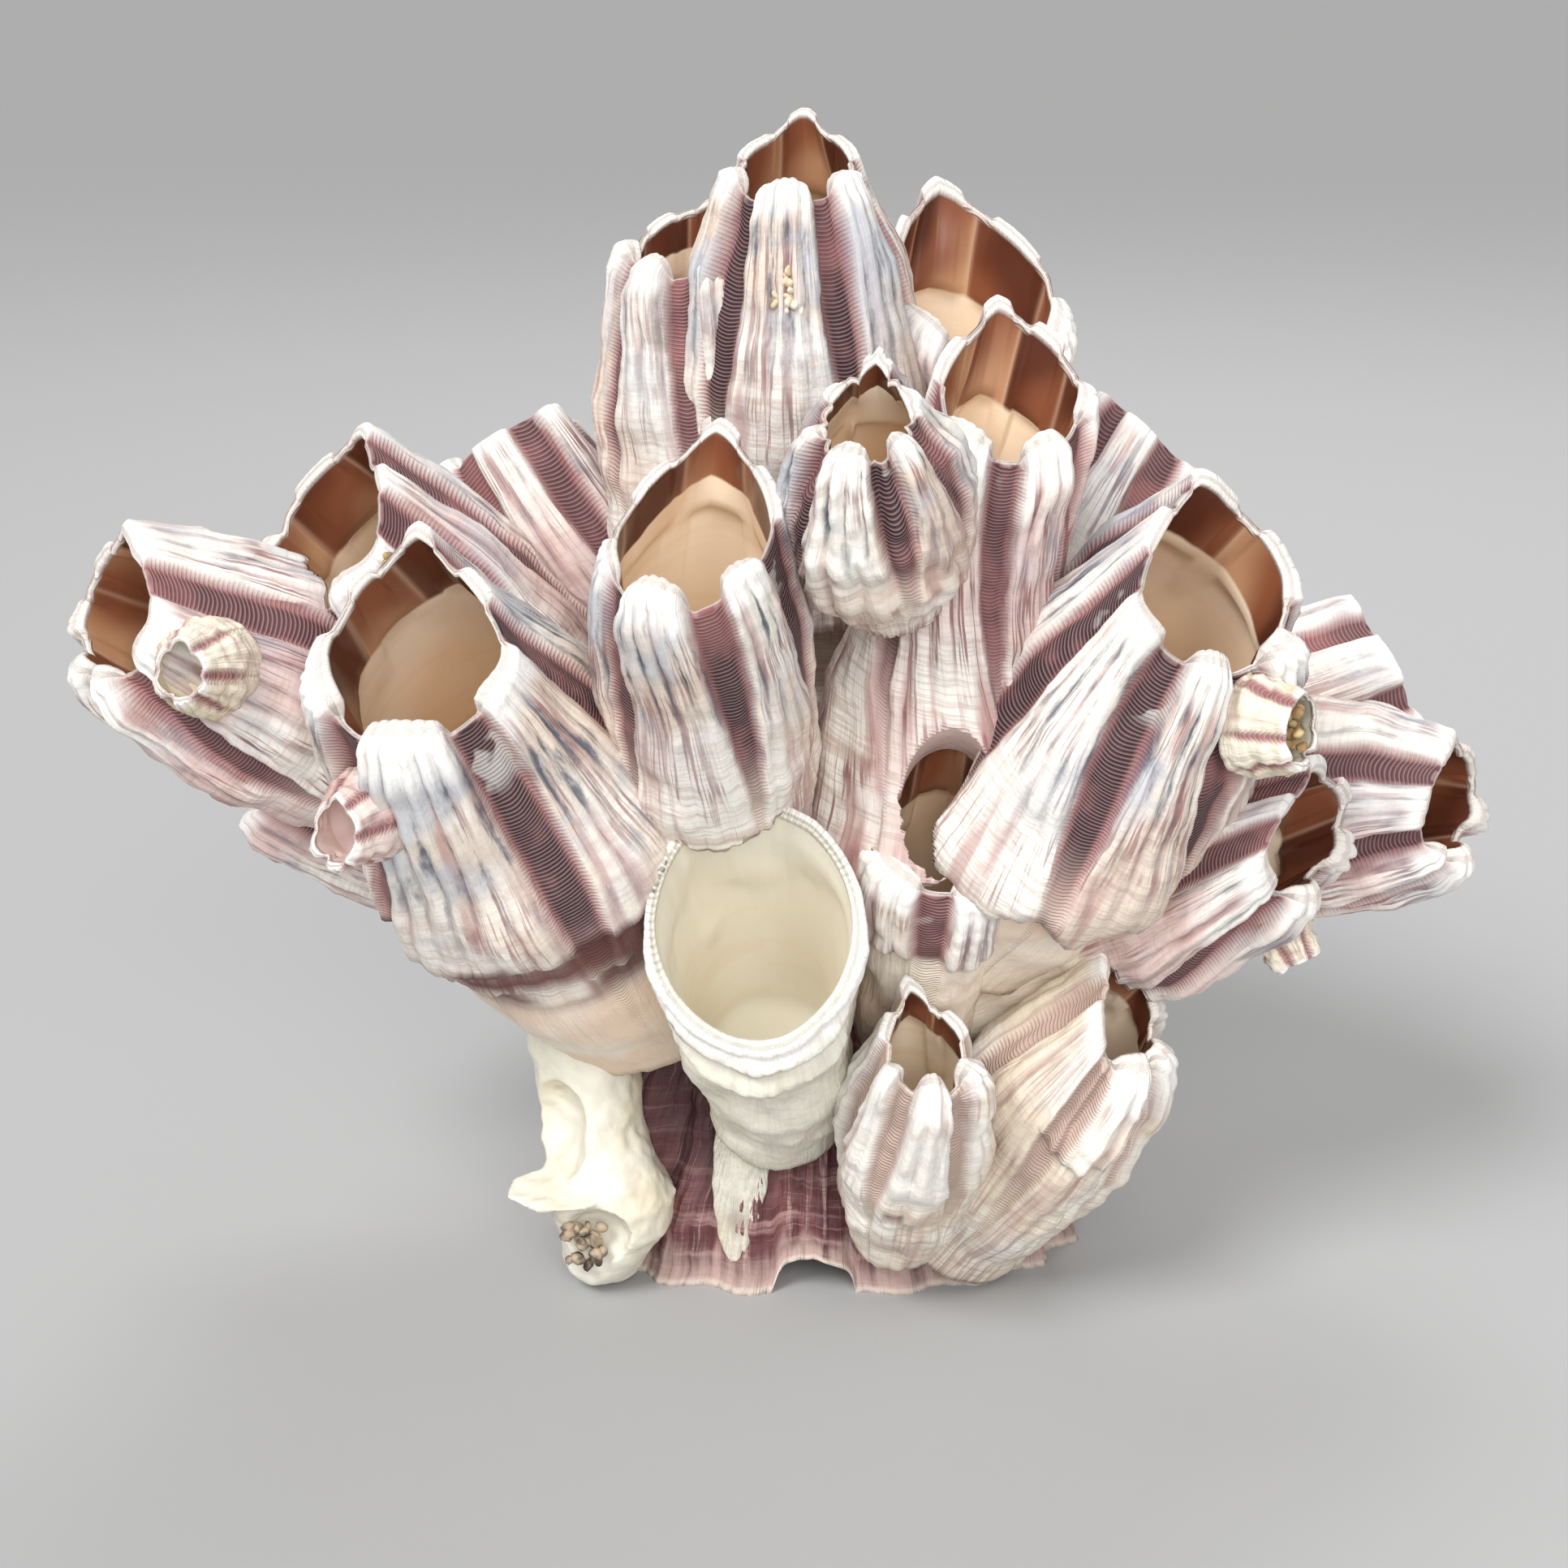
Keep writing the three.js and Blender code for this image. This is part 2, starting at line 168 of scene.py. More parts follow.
# joins the seam and the poles, faces outwards
def closeUp(piece, reach=0.00001):
    pick(piece)
    bpy.ops.object.mode_set(mode="EDIT")
    bpy.ops.mesh.select_all(action="SELECT")
    bpy.ops.mesh.remove_doubles(threshold=reach)
    bpy.ops.mesh.dissolve_degenerate(threshold=reach)
    bpy.ops.mesh.select_all(action="SELECT")
    bpy.ops.mesh.normals_make_consistent(inside=False)
    bpy.ops.object.mode_set(mode="OBJECT")
    bpy.ops.object.shade_smooth()


def roughen(piece, name, size, strength, group=None):
    clouds = bpy.data.textures.new(name, "CLOUDS")
    clouds.noise_scale = size * mm
    clouds.noise_depth = 2
    lumps = piece.modifiers.new(name, "DISPLACE")
    lumps.texture = clouds
    lumps.texture_coords = "LOCAL"
    lumps.strength = strength * mm
    lumps.mid_level = 0.5
    if group:
        lumps.vertex_group = group
    useModifier(piece, lumps)


# weights go in as a few even levels, which is quick
def paintGroup(piece, name, weights, levels=8):
    group = piece.vertex_groups.new(name=name)
    level = np.round(np.clip(weights, 0, 1) * levels).astype(int)
    for k in range(1, levels + 1):
        members = np.nonzero(level == k)[0].tolist()
        if members:
            group.add(members, k / levels, "REPLACE")


# node helpers for the materials
def put(tree, kind, settings=None, **inputs):
    node = tree.nodes.new(kind)
    for key, value in (settings or {}).items():
        setattr(node, key, value)
    for key, value in inputs.items():
        socket = node.inputs[int(key[1:])] if key[0] == "i" and key[1:].isdigit() else node.inputs[key]
        if isinstance(value, bpy.types.NodeSocket):
            tree.links.new(value, socket)
        else:
            socket.default_value = value
    return node


def calc(tree, operation, a, b=0.0, c=0.0):
    return put(tree, "ShaderNodeMath", {"operation": operation}, i0=a, i1=b, i2=c).outputs[0]


def times(tree, a, b):
    return calc(tree, "MULTIPLY", a, b)


def plus(tree, a, b):
    return calc(tree, "ADD", a, b)


def flip(tree, a):
    return calc(tree, "SUBTRACT", 1.0, a)


# a colour is a socket or three numbers
def blend(tree, factor, a, b):
    a, b = (c if isinstance(c, bpy.types.NodeSocket) else (*c, 1.0) for c in (a, b))
    return put(tree, "ShaderNodeMix", {"data_type": "RGBA"}, i0=factor, i6=a, i7=b).outputs[2]


def steps(tree, value, low, high, toLow=0.0, toHigh=1.0):
    node = put(tree, "ShaderNodeMapRange", {"interpolation_type": "SMOOTHSTEP"},
               i0=value, i1=low, i2=high, i3=toLow, i4=toHigh)
    return node.outputs[0]


def stored(tree, name):
    return put(tree, "ShaderNodeAttribute", {"attribute_name": name}).outputs["Fac"]


def noiseAt(tree, where, stretch, scale, detail=4.0, rough=0.6, shift=(0, 0, 0)):
    moved = put(tree, "ShaderNodeMapping", None, Vector=where, Scale=stretch, Location=shift).outputs[0]
    return put(tree, "ShaderNodeTexNoise", None,
               Vector=moved, Scale=scale, Detail=detail, Roughness=rough).outputs["Fac"]


def newMaterial(name, roughness=0.6):
    material = bpy.data.materials.new(name)
    material.use_nodes = True
    tree = material.node_tree
    shader = tree.nodes["Principled BSDF"]
    shader.inputs["Roughness"].default_value = roughness
    return material, tree, shader, put(tree, "ShaderNodeTexCoord").outputs["Object"]


def addBump(tree, shader, height, strength, distance):
    bump = put(tree, "ShaderNodeBump", None, Strength=strength, Distance=distance, Height=height)
    tree.links.new(bump.outputs[0], shader.inputs["Normal"])


# thin broken lines where a noise crosses its middle value
def lineNoise(tree, where, stretch, width, detail=3.0, shift=(0, 0, 0)):
    value = noiseAt(tree, where, stretch, 1.0, detail, 0.55, shift)
    away = calc(tree, "ABSOLUTE", calc(tree, "SUBTRACT", value, 0.5))
    return steps(tree, away, width * 0.3, width, 1.0, 0.0)


# plates: chalky white, pink brown in the grooves, slate grey marks near the tips that are partly painted
# shade in the rib grooves, growth bands lower down
def plateColour(tree, uv, place, look, height, rib):
    seed = look["seed"]
    groove = flip(tree, rib)
    patches = noiseAt(tree, place, (1, 1, 1), 60, 3, 0.5, (seed, 0, seed))
    plates = blend(tree, steps(tree, patches, 0.42, 0.62), look["white"], look["warm"])
    bands = noiseAt(tree, uv, (0.03, 0.5, 1), 1.0, 3, 0.5, (0, seed * 3, 0))
    lower = steps(tree, height, 0.85, 0.35, 0.25, 1)
    bands = times(tree, steps(tree, bands, 0.50, 0.66, 0, 0.6 * look["bands"]), lower)
    plates = blend(tree, bands, plates, look["band"])
    blush = noiseAt(tree, uv, (0.30, 0.035, 1), 1.0, 3, 0.55, (seed, 9, 0))
    blush = plus(tree, blush, times(tree, groove, 0.10))
    plates = blend(tree, steps(tree, blush, 0.52, 0.70, 0, look["pink"] * 0.85), plates, look["blush"])
    broken = noiseAt(tree, place, (1, 1, 1), 110, 3, 0.55, (seed, seed, 0))
    lines = lineNoise(tree, uv, (0.7, 0.03, 1), 0.045, 2.5, (seed, 0, 0))
    lines = times(tree, lines, steps(tree, broken, 0.42, 0.60, 0, look["pink"]))
    plates = blend(tree, times(tree, lines, 0.9), plates, look["line"])
    growth = lineNoise(tree, uv, (0.05, 0.8, 1), 0.04, 2, (0, seed, 3))
    growth = times(tree, growth, times(tree, lower, 0.45 * look["bands"]))
    plates = blend(tree, growth, plates, look["growthLine"])
    cool = noiseAt(tree, place, (1, 1, 1), 85, 4, 0.6, (0, 0, seed))
    upper = steps(tree, height, 0.45, 0.85)
    cool = times(tree, steps(tree, cool, 0.46, 0.62), times(tree, upper, look["grey"]))
    plates = blend(tree, times(tree, cool, 0.7), plates, look["slateWash"])
    # slate grey near the tips: partly the shell's own marks and partly painted shade, pushed into the low
    # rib grooves
    slateAndGrooveShade = noiseAt(tree, uv, (0.34, 0.11, 1), 1.0, 5, 0.66, (seed * 2, 4, 0))
    slateAndGrooveShade = plus(tree, slateAndGrooveShade, times(tree, groove, 0.22))
    slateAndGrooveShade = times(tree, steps(tree, slateAndGrooveShade, 0.57, 0.78), upper)
    plates = blend(tree, times(tree, slateAndGrooveShade, look["grey"]), plates, look["slate"])
    tips = times(tree, steps(tree, height, 0.94, 1.0, 0, 0.9), steps(tree, rib, 0.1, 0.6, 0.6, 1))
    return blend(tree, tips, plates, look["tip"])


# strips between the plates: pink brown sides, dark middle, crossed by fine pale lines
def stripColour(tree, place, look, along, height, edge):
    away = flip(tree, edge)
    bow = times(tree, times(tree, away, away), -0.45)
    wobble = times(tree, noiseAt(tree, place, (1, 1, 1), 160, 2, 0.5), 0.5)
    path = plus(tree, plus(tree, along, wobble), bow)
    fine = calc(tree, "SINE", times(tree, path, 2 * math.pi / look["pitch"]))
    fineMask = steps(tree, fine, -0.7, 0.9)
    shade = noiseAt(tree, place, (1, 1, 1), 95, 3, 0.6, (0, look["seed"], 0))
    dark = times(tree, steps(tree, edge, 0.0, 0.45), steps(tree, shade, 0.34, 0.54, 0.35, 1))
    dark = times(tree, dark, steps(tree, height, 0.25, 0.6, 0.2, 1))
    strip = blend(tree, times(tree, dark, look["dark"]), look["strip"], look["stripDark"])
    strip = blend(tree, times(tree, fineMask, 0.38), strip, look["crossLine"])
    crust = times(tree, steps(tree, shade, 0.60, 0.63), steps(tree, height, 0.86, 0.90))
    strip = blend(tree, times(tree, crust, 0.7 * look["grey"]), strip, look["crust"])
    return blend(tree, steps(tree, height, 0.25, 0.6, 0, look["stripes"]), look["warm"], strip), fineMask


# inside: glossy brown lining with one flat to a plate, each flat a brown lighter or darker at random and
# partly painted facet shade, with painted shade graded across it, then a smooth pale wall with faint rings
def insideColour(tree, uv, place, look, inner):
    seed = look["seed"]
    marble = noiseAt(tree, place, (1, 1, 1), 60, 2, 0.45, (seed, 0, seed))
    swing = times(tree, calc(tree, "SUBTRACT", marble, 0.5), 1.6)
    # painted facet shade from the wall, marbled by noise
    tone = plus(tree, stored(tree, "tone"), swing)
    brown = blend(tree, steps(tree, tone, 0.0, 0.45), look["brownDark"], look["brown"])
    brown = blend(tree, steps(tree, tone, 0.45, 1.1), brown, look["brownLight"])
    brown = blend(tree, times(tree, stored(tree, "crease"), 0.5), brown, look["creaseLine"])
    soft = noiseAt(tree, place, (1, 1, 1), 45, 2, 0.4, (0, seed, 0))
    deep = blend(tree, steps(tree, soft, 0.35, 0.65), look["deep"], look["deepPale"])
    ring = noiseAt(tree, uv, (0.012, 0.40, 1), 1.0, 2, 0.5, (seed, 0, 0))
    deep = blend(tree, steps(tree, ring, 0.50, 0.70, 0, 0.18), deep, look["deepDark"])
    lip = plus(tree, inner, times(tree, swing, 0.8))
    below = steps(tree, lip, look["lining"] - 0.35, look["lining"] + 0.35)
    return blend(tree, below, brown, deep), below


def shellMaterial(name, look):
    material, tree, shader, place = newMaterial(name)
    uv = put(tree, "ShaderNodeUVMap", {"uv_map": "shellMap"}).outputs[0]
    along = put(tree, "ShaderNodeSeparateXYZ", None, i0=uv).outputs[1]
    plate, height, inner, edge, rib = (stored(tree, k) for k in ("plate", "height", "inner", "edge", "rib"))
    plates = plateColour(tree, uv, place, look, height, rib)
    strip, fineMask = stripColour(tree, place, look, along, height, edge)
    outside = blend(tree, plate, strip, plates)
    mottle = noiseAt(tree, place, (1, 1, 1), 90, 3, 0.5)
    stalk = blend(tree, steps(tree, mottle, 0.38, 0.66), look["stalk"], look["stalkDark"])
    outside = blend(tree, stored(tree, "stalk"), outside, stalk)
    outside = blend(tree, stored(tree, "stain"), outside, look["stain"])
    within, below = insideColour(tree, uv, place, look, inner)

    isInside = steps(tree, inner, 1.15, 1.75)
    rim = calc(tree, "SUBTRACT", steps(tree, inner, 0.2, 0.8), isInside)
    colour = blend(tree, isInside, outside, within)
    colour = blend(tree, times(tree, rim, 0.85), colour, look["rim"])
    tree.links.new(colour, shader.inputs["Base Color"])

    lined = times(tree, isInside, flip(tree, below))
    tree.links.new(steps(tree, lined, 0, 1, 0.60, 0.30), shader.inputs["Roughness"])
    shader.inputs["Specular IOR Level"].default_value = 0.35

    # fine relief: lines along the ribs, lines across the strips, grain
    fibres = noiseAt(tree, uv, (1.1, 0.08, 1), 1.0, 4, 0.6, (look["seed"], 0, 0))
    ribHeight = times(tree, fibres, times(tree, plate, 0.9))
    crossHeight = times(tree, fineMask, times(tree, flip(tree, plate), 0.4))
    grain = noiseAt(tree, place, (1, 1, 1), 700, 4, 0.65)
    relief = plus(tree, plus(tree, ribHeight, crossHeight), times(tree, grain, 0.5))
    relief = times(tree, relief, flip(tree, times(tree, isInside, 0.97)))  # the inside is smooth
    addBump(tree, shader, relief, 0.7, 0.0005)
    return material


# what the shells' materials share: colours, then how strong each pattern is
common = dict(
    white=(0.88, 0.85, 0.79), warm=(0.78, 0.67, 0.57), rim=(0.84, 0.77, 0.71), tip=(0.88, 0.86, 0.83),
    band=(0.56, 0.42, 0.35), blush=(0.42, 0.22, 0.21), line=(0.24, 0.085, 0.085),
    growthLine=(0.42, 0.28, 0.23), slate=(0.10, 0.115, 0.15), slateWash=(0.44, 0.49, 0.56),
    crust=(0.60, 0.57, 0.54),
    strip=(0.36, 0.14, 0.14), stripDark=(0.034, 0.013, 0.018), crossLine=(0.48, 0.32, 0.31),
    brownDark=(0.10, 0.028, 0.014), brown=(0.24, 0.080, 0.038), brownLight=(0.56, 0.31, 0.17),
    creaseLine=(0.62, 0.40, 0.27),
    deep=(0.90, 0.66, 0.44), deepPale=(0.95, 0.81, 0.63), deepDark=(0.74, 0.48, 0.29),
    stalk=(0.88, 0.80, 0.68), stalkDark=(0.82, 0.64, 0.50), stain=(0.13, 0.042, 0.036),
    bands=0.8, stripes=1.0, pitch=0.42)  # pitch of the cross lines in millimetres
looks = {
    "rosy": dict(common, seed=1.7, pink=0.95, grey=0.55, dark=0.8, lining=9.0, warm=(0.72, 0.55, 0.51)),
    "pale": dict(common, seed=5.1, pink=0.60, grey=0.45, dark=0.7, lining=8.0),
    "grey": dict(common, seed=8.3, pink=0.75, grey=0.95, dark=1.0, lining=9.5),
    "cream": dict(common, seed=3.9, pink=0.45, grey=0.15, dark=0.3, stripes=0.55, lining=5.0,
                  warm=(0.76, 0.67, 0.54)),
    "young": dict(common, seed=6.4, pink=0.5, grey=0.1, dark=0.2, lining=-3.0, white=(0.86, 0.80, 0.66),
                  warm=(0.78, 0.68, 0.48), deep=(0.80, 0.72, 0.56), deepPale=(0.86, 0.80, 0.66)),
    "youngRosy": dict(common, seed=7.7, pink=1.0, grey=0.1, dark=0.2, lining=-3.0, white=(0.84, 0.72, 0.66),
                      warm=(0.66, 0.42, 0.38), deep=(0.62, 0.44, 0.42), deepPale=(0.74, 0.58, 0.54)),
    "worn": dict(common, seed=2.2, pink=0.05, grey=0.1, dark=0.0, lining=-3.0, bands=0.3,
                 white=(0.80, 0.78, 0.68), warm=(0.74, 0.68, 0.54), rim=(0.84, 0.81, 0.71),
                 deep=(0.78, 0.71, 0.57), deepPale=(0.84, 0.80, 0.68), deepDark=(0.74, 0.60, 0.44)),
}
materials = {}


def lookOf(key):
    if key not in materials:
        materials[key] = shellMaterial(f"shell_{key}", looks[key])
    return materials[key]


# where each point lies between the seams: plate number, place across the plate, depth into the strips
def plateField(s, rng, a, t, girth):
    seams = np.radians(s.get("seams", (30, 90, 150, 210, 270, 330)))
    if "seams" not in s:
        seams = seams + rng.uniform(-0.12, 0.12, 6)
    widths = np.radians(s["strip"]) * rng.uniform(0.85, 1.15, 6)
    taper = smooth(0.05, 0.95, t)
    a = np.mod(a, 2 * math.pi)
    a = np.where(a > seams[-1], a - 2 * math.pi, a)
    index = np.searchsorted(seams, a)
    before = np.where(index == 0, seams[-1] - 2 * math.pi, seams[index - 1])
    low = before + widths[index - 1] * taper
    high = seams[index] - widths[index] * taper
    across = (2 * a - low - high) / (high - low)
    into = np.minimum(a - low, high - a) * girth  # millimetres into the plate, negative in a strip
    plate = np.maximum(smooth(-0.5, 0.4, into), s["plain"])
    half = np.where(a - low < high - a, widths[index - 1], widths[index]) * taper * girth
    edge = np.clip(-into / np.maximum(half, 0.05), 0, 1)
    away = a - (before + seams[index]) / 2  # angle from the plate's middle
    toSeam = np.minimum(a - before, seams[index] - a)
    wide = (seams - np.append(seams[-1] - 2 * math.pi, seams[:-1])) * max(s["girth"][2:])
    return index, np.clip(across, -1, 1), plate, edge, away, toSeam, wide


# sizes of a usual wall in millimetres, which each shell scales by its own values
wallForm = dict(
    hump=0.8, growth=0.15, flute=0.85, smallLumps=0.3, tipSwell=1.1, peakPoint=1.1, stripWall=0.8,
    backWall=0.9, frontWall=1.7, deepWall=2.1, liningStep=0.4, creaseWidth=0.035, tent=1.1,
    tipUneven=(-0.6, 0.7), chipFine=0.06, chipCoarse=0.18)


# the wall at places round it (u) and along it (t): radii, rise of the rim and what the material needs
def wallField(s, u, t):
    form = wallForm
    rng = np.random.default_rng(s["seed"])
    a = u * 2 * math.pi
    front = smooth(-0.2, 0.9, -np.cos(a))  # 1 on the side that the mouth leans to
    nearRim = smooth(0.78, 0.97, t)
    girth = through(s["girth"], np.clip(t, 0, 1))
    index, across, plate, edge, away, toSeam, wide = plateField(s, rng, a, t, girth)
    # plates stand proud of the strips, with ribs that run out to the tips
    step = s["step"] * smooth(0.08, 0.7, t)
    count = np.clip(np.round(wide / s["ribSpan"]), 2, 6)[index]
    phase = rng.uniform(-0.25, 0.25, 6)[index] + 0.16 * softNoise(rng, u, t, 10, 4)
    strength = rng.uniform(0.7, 1.25, 6)[index]
    ridge = np.abs(np.cos(math.pi * (count * across * 0.5 + phase))) ** 0.8
    drift = softNoise(rng, u, t, 14, 7)
    ribSize = s["ribs"] * strength * (0.75 + 0.5 * drift) * mix(0.2, 1, smooth(0.2, 0.85, t))
    ribs = (ridge - 0.5) * ribSize * mix(0.75, 1.3, front) * (1 - 0.95 * (1 - front) * nearRim)
    hump = form["hump"] * s["hump"] * (1 - across ** 2) * smooth(0.2, 0.9, t)
    hump = hump * (1 - 0.75 * (1 - front) * nearRim)
    growth = np.sin(t * s["bands"] + 2.2 * softNoise(rng, u, t, 8, 5))
    growth = form["growth"] * growth * (1 - 0.6 * smooth(0.6, 1, t))
    fluted = 0
    if s["flutes"]:
        wave = s["flutes"] * a / 2 + 0.5 * softNoise(rng, u, t, 9, 3)
        fluted = form["flute"] * (np.abs(np.cos(wave)) ** 0.8 - 0.5)
    lumps = s["lumps"] * softNoise(rng, u, t, 9, 6) + form["smallLumps"] * softNoise(rng, u, t, 26, 16)
    lumps = lumps * smooth(0.0, 0.2, t) * (1 - 0.6 * nearRim)
    stalk = smooth(0.03, -0.03, t - s["stalk"] - 0.03 * softNoise(rng, u, t, 14, 8))
    more, stain = np.zeros(len(t)), np.zeros(len(t))
    if s["extra"]:  # steps, lips and stains of this shell alone
        more, stain, lower = s["extra"](rng, u, a, t)
        stalk = np.maximum(stalk, lower)
    relief = plate * (step + ribs + hump) - 0.55 * step + growth + fluted * smooth(0.1, 0.4, t)
    swell = mix(0.3, form["tipSwell"], front) * smooth(0.74, 0.93, t) * plate
    swell = swell * (1 - 0.8 * smooth(0.95, 1.0, t))
    turned = np.where(a > math.pi, a - 2 * math.pi, a)
    point = form["peakPoint"] * np.maximum(0, 1 - np.abs(turned) / 0.5) * smooth(0.7, 1, t) * s["kite"]
    outer = girth + relief * (1 - 0.8 * stalk) + lumps + swell * s["tips"] + more + point

    # inner face: smooth lining with one flat to a plate, a step below it
    lipWall = mix(form["stripWall"], mix(form["backWall"], form["frontWall"], front), plate) * s["wall"]
    wall = mix(lipWall, form["deepWall"] * s["wall"], smooth(1.0, s["cup"], t))
    depth = (1 - t) * np.linalg.norm(np.subtract(s["mouth"], s["foot"]))
    lining = looks[s["look"]]["lining"]
    under = smooth(lining * 0.8 - 0.3, lining * 0.8 + 0.3, depth)
    crease = np.exp(-(toSeam / form["creaseWidth"]) ** 2) * (1 - under)
    half = np.minimum(np.abs(away) + toSeam, 0.75)
    flat = mix(mix(0.25, 0.55, front), 0.85, smooth(0.0, 0.15, 1 - t)) * (1 - 0.8 * under) * s["facets"]
    facet = (np.cos(half) / np.cos(np.minimum(np.abs(away), half)) - 1) * girth * flat
    inner = girth - wall + facet + 0.15 * lumps + form["liningStep"] * under
    inner = np.minimum(inner + point, outer - s["leastWall"])
    # painted facet shade on the lining: a random brown for each flat that partly stands for its shade, a
    # shade slope across it, lighter deeper in
    facetShadeSlope = rng.choice([-1.0, 1.0], 6)[index] * away / 0.55
    tone = rng.uniform(-0.1, 0.9, 6)[index] * 0.85 + 0.3 * facetShadeSlope + 0.40 * smooth(0, lining, depth) - 0.22

    # rim: a peak at the top, a thick worn tip on each front plate, low where the strips end
    tent = form["tent"] * np.maximum(0, 1 - np.sqrt(turned ** 2 + 0.03) / 1.75) ** 1.15
    tipHeight = rng.uniform(*form["tipUneven"], 6)[index] * s["uneven"] * mix(0.3, 1, front)
    tooth = plate * (0.4 + 0.6 * (1 - np.abs(across) ** 2.2)) + 0.12 * (ridge - 0.5) * plate * front
    chips = form["chipFine"] * softNoise(rng, u, u * 0, 60, 1)
    chips = chips + form["chipCoarse"] * softNoise(rng, u, u * 0, 15, 1)
    rise = s["peak"] * tent + s["teeth"] * mix(0.15, 1.9, front) * (tooth - 0.5)
    rise = (rise + tipHeight * plate * (1 - across ** 2) + chips * s["chips"]) * smooth(0.5, 1, t)
    values = dict(plate=plate, edge=edge, rib=np.clip(ridge, 0, 1), crease=np.clip(crease, 0, 1), tone=tone,
                  stain=np.clip(stain, 0, 1), stalk=np.clip(stalk, 0, 1))
    mapX = a * 12 if s["plain"] else (index + 1) * 20 + across * wide[index] / 2
    return outer, inner, rise, lipWall, mapX, values


def wallPoints(s, u, t, radius, rise):
    a = u * 2 * math.pi
    centre, normal, up, side = ringFrame(s, t)
    narrow = 0.32 * s["kite"] * smooth(0.6, 1.0, t) * np.maximum(0, np.cos(a)) ** 1.2
    slim = mix(1, s["slim"], t) * (1 - narrow)
    return (centre + up * (radius * np.cos(a))[:, None] + side * (radius * slim * np.sin(a))[:, None]
            + normal * rise[:, None])


def growShell(s):
    columns, outerRows = s["fine"]
    innerRows, rimRows, capRows = int(outerRows * 0.5), 6, 6
    rows = capRows + outerRows + rimRows + innerRows + capRows
    piece, u, v = gridPiece(s["name"] + "_look", columns, rows)
    row = np.rint(v * rows).astype(int)

    # what each row is: t along the axis, 0 outside or 1 inside, how far in, size towards a pole
    start = s["start"]
    x = np.linspace(0, 1, outerRows + 1)
    outerT = start + (1 - start) * (1 - (1 - x) ** 1.25)
    turnOver = np.linspace(0, math.pi, rimRows + 1)[1:]
    x = np.linspace(0, 1, innerRows + 1)[1:]
    innerT = mix(1.0, s["cup"], x)
    outside, deeper = np.zeros(capRows + outerRows + 1), np.ones(innerRows + capRows)
    rowT = [np.full(capRows, start), outerT, np.full(rimRows, 1.0), innerT, np.full(capRows, s["cup"])]
    rowT = np.concatenate(rowT)
    rowIn = np.concatenate([outside, (1 - np.cos(turnOver)) / 2, deeper])
    rowLip = np.concatenate([outside, np.sin(turnOver), deeper * 0])
    shrink = np.linspace(0, 1, capRows + 1)[:-1]
    rowSize = np.concatenate([shrink, np.ones(outerRows + 1 + rimRows + innerRows), shrink[::-1]])
    sink = np.zeros(rows + 1)
    sink[-capRows:] = -np.sqrt(1 - rowSize[-capRows:] ** 2) * s["bowl"]
    t, inside, lip, size = rowT[row], rowIn[row], rowLip[row], rowSize[row]

    outer, inner, rise, lipWall, mapX, values = wallField(s, u, t)
    if s["comb"]:  # small ridges across a broken porous rim
        a = u * 2 * math.pi
        rise = rise + 0.45 * np.cos(a * s["comb"]) * lip * smooth(-0.2, 0.3, np.cos(a - 0.35))
    rise = (rise + lip * 0.45 * lipWall) * size + sink[row]
    writePoints(piece, wallPoints(s, u, t, mix(outer, inner, inside) * size, rise))
    length = np.linalg.norm(np.subtract(s["mouth"], s["foot"]))
    within = np.where(inside > 0, (1 - t) * length * 1.1 + inside * 1.2, 0)
    within = np.where(row >= rows - capRows, within + 4, within)
    within = np.where(within > 1.75, 1.75 + (within - 1.75) / s["liningDepth"], within)
    writeMap(piece, mapX, mix(t * length, 200 - t * length, inside > 0.5))
    for key in ("stain", "stalk"):
        values[key] = values[key] * (1 - inside)
    writeValues(piece, height=t, inner=within, **values)
    backRim = smooth(0.8, 0.97, t) * smooth(0.3, -0.3, -np.cos(u * 2 * math.pi))
    paintGroup(piece, "worn", (1 - inside) * size * (1 - 0.75 * backRim))
    closeUp(piece)
    roughen(piece, "lumps", 5.0, 0.7 * s["rough"], "worn")
    roughen(piece, "pits", 1.3, 0.35 * s["rough"], "worn")
    dress(piece, lookOf(s["look"]))
    return piece


# plug the size of a shell up to the middle of its wall: what grew on it ends there
def corkOf(s):
    columns, rows = 108, 30
    cork, u, v = gridPiece(s["name"] + "_cork", columns, rows)
    row = np.rint(v * rows).astype(int)
    t = np.concatenate([[0], np.linspace(0, 1, rows - 1), [1]])[row]
    size = np.where((row == 0) | (row == rows), 0.0, 1.0)
    outer, inner, rise = wallField(s, u, t)[:3]
    deepest = np.where(t > s["cup"], (outer - inner) * 0.45, 1.0)
    middle = outer - np.minimum(deepest, 1.2)
    writePoints(cork, wallPoints(s, u, t, middle * size, (rise + 0.4) * size))
    closeUp(cork)
    return cork


def boxOf(piece):
    flat = np.empty(len(piece.data.vertices) * 3)
    piece.data.vertices.foreach_get("co", flat)
    flat = flat.reshape(-1, 3)
    return flat.min(axis=0), flat.max(axis=0)


def meets(one, other):
    low, high = boxOf(one)
    lowB, highB = boxOf(other)
    return bool(np.all(low < highB) and np.all(lowB < high))


def cutAway(piece, tool, operation="DIFFERENCE"):
    cut = piece.modifiers.new("cut", "BOOLEAN")
    cut.operation = operation
    cut.solver = "MANIFOLD"
    cut.object = tool
    useModifier(piece, cut)


# ends a piece in the walls of whatever grew before it
def cutAll(piece):
    for cork in corks:
        if meets(piece, cork):
            cutAway(piece, cork)


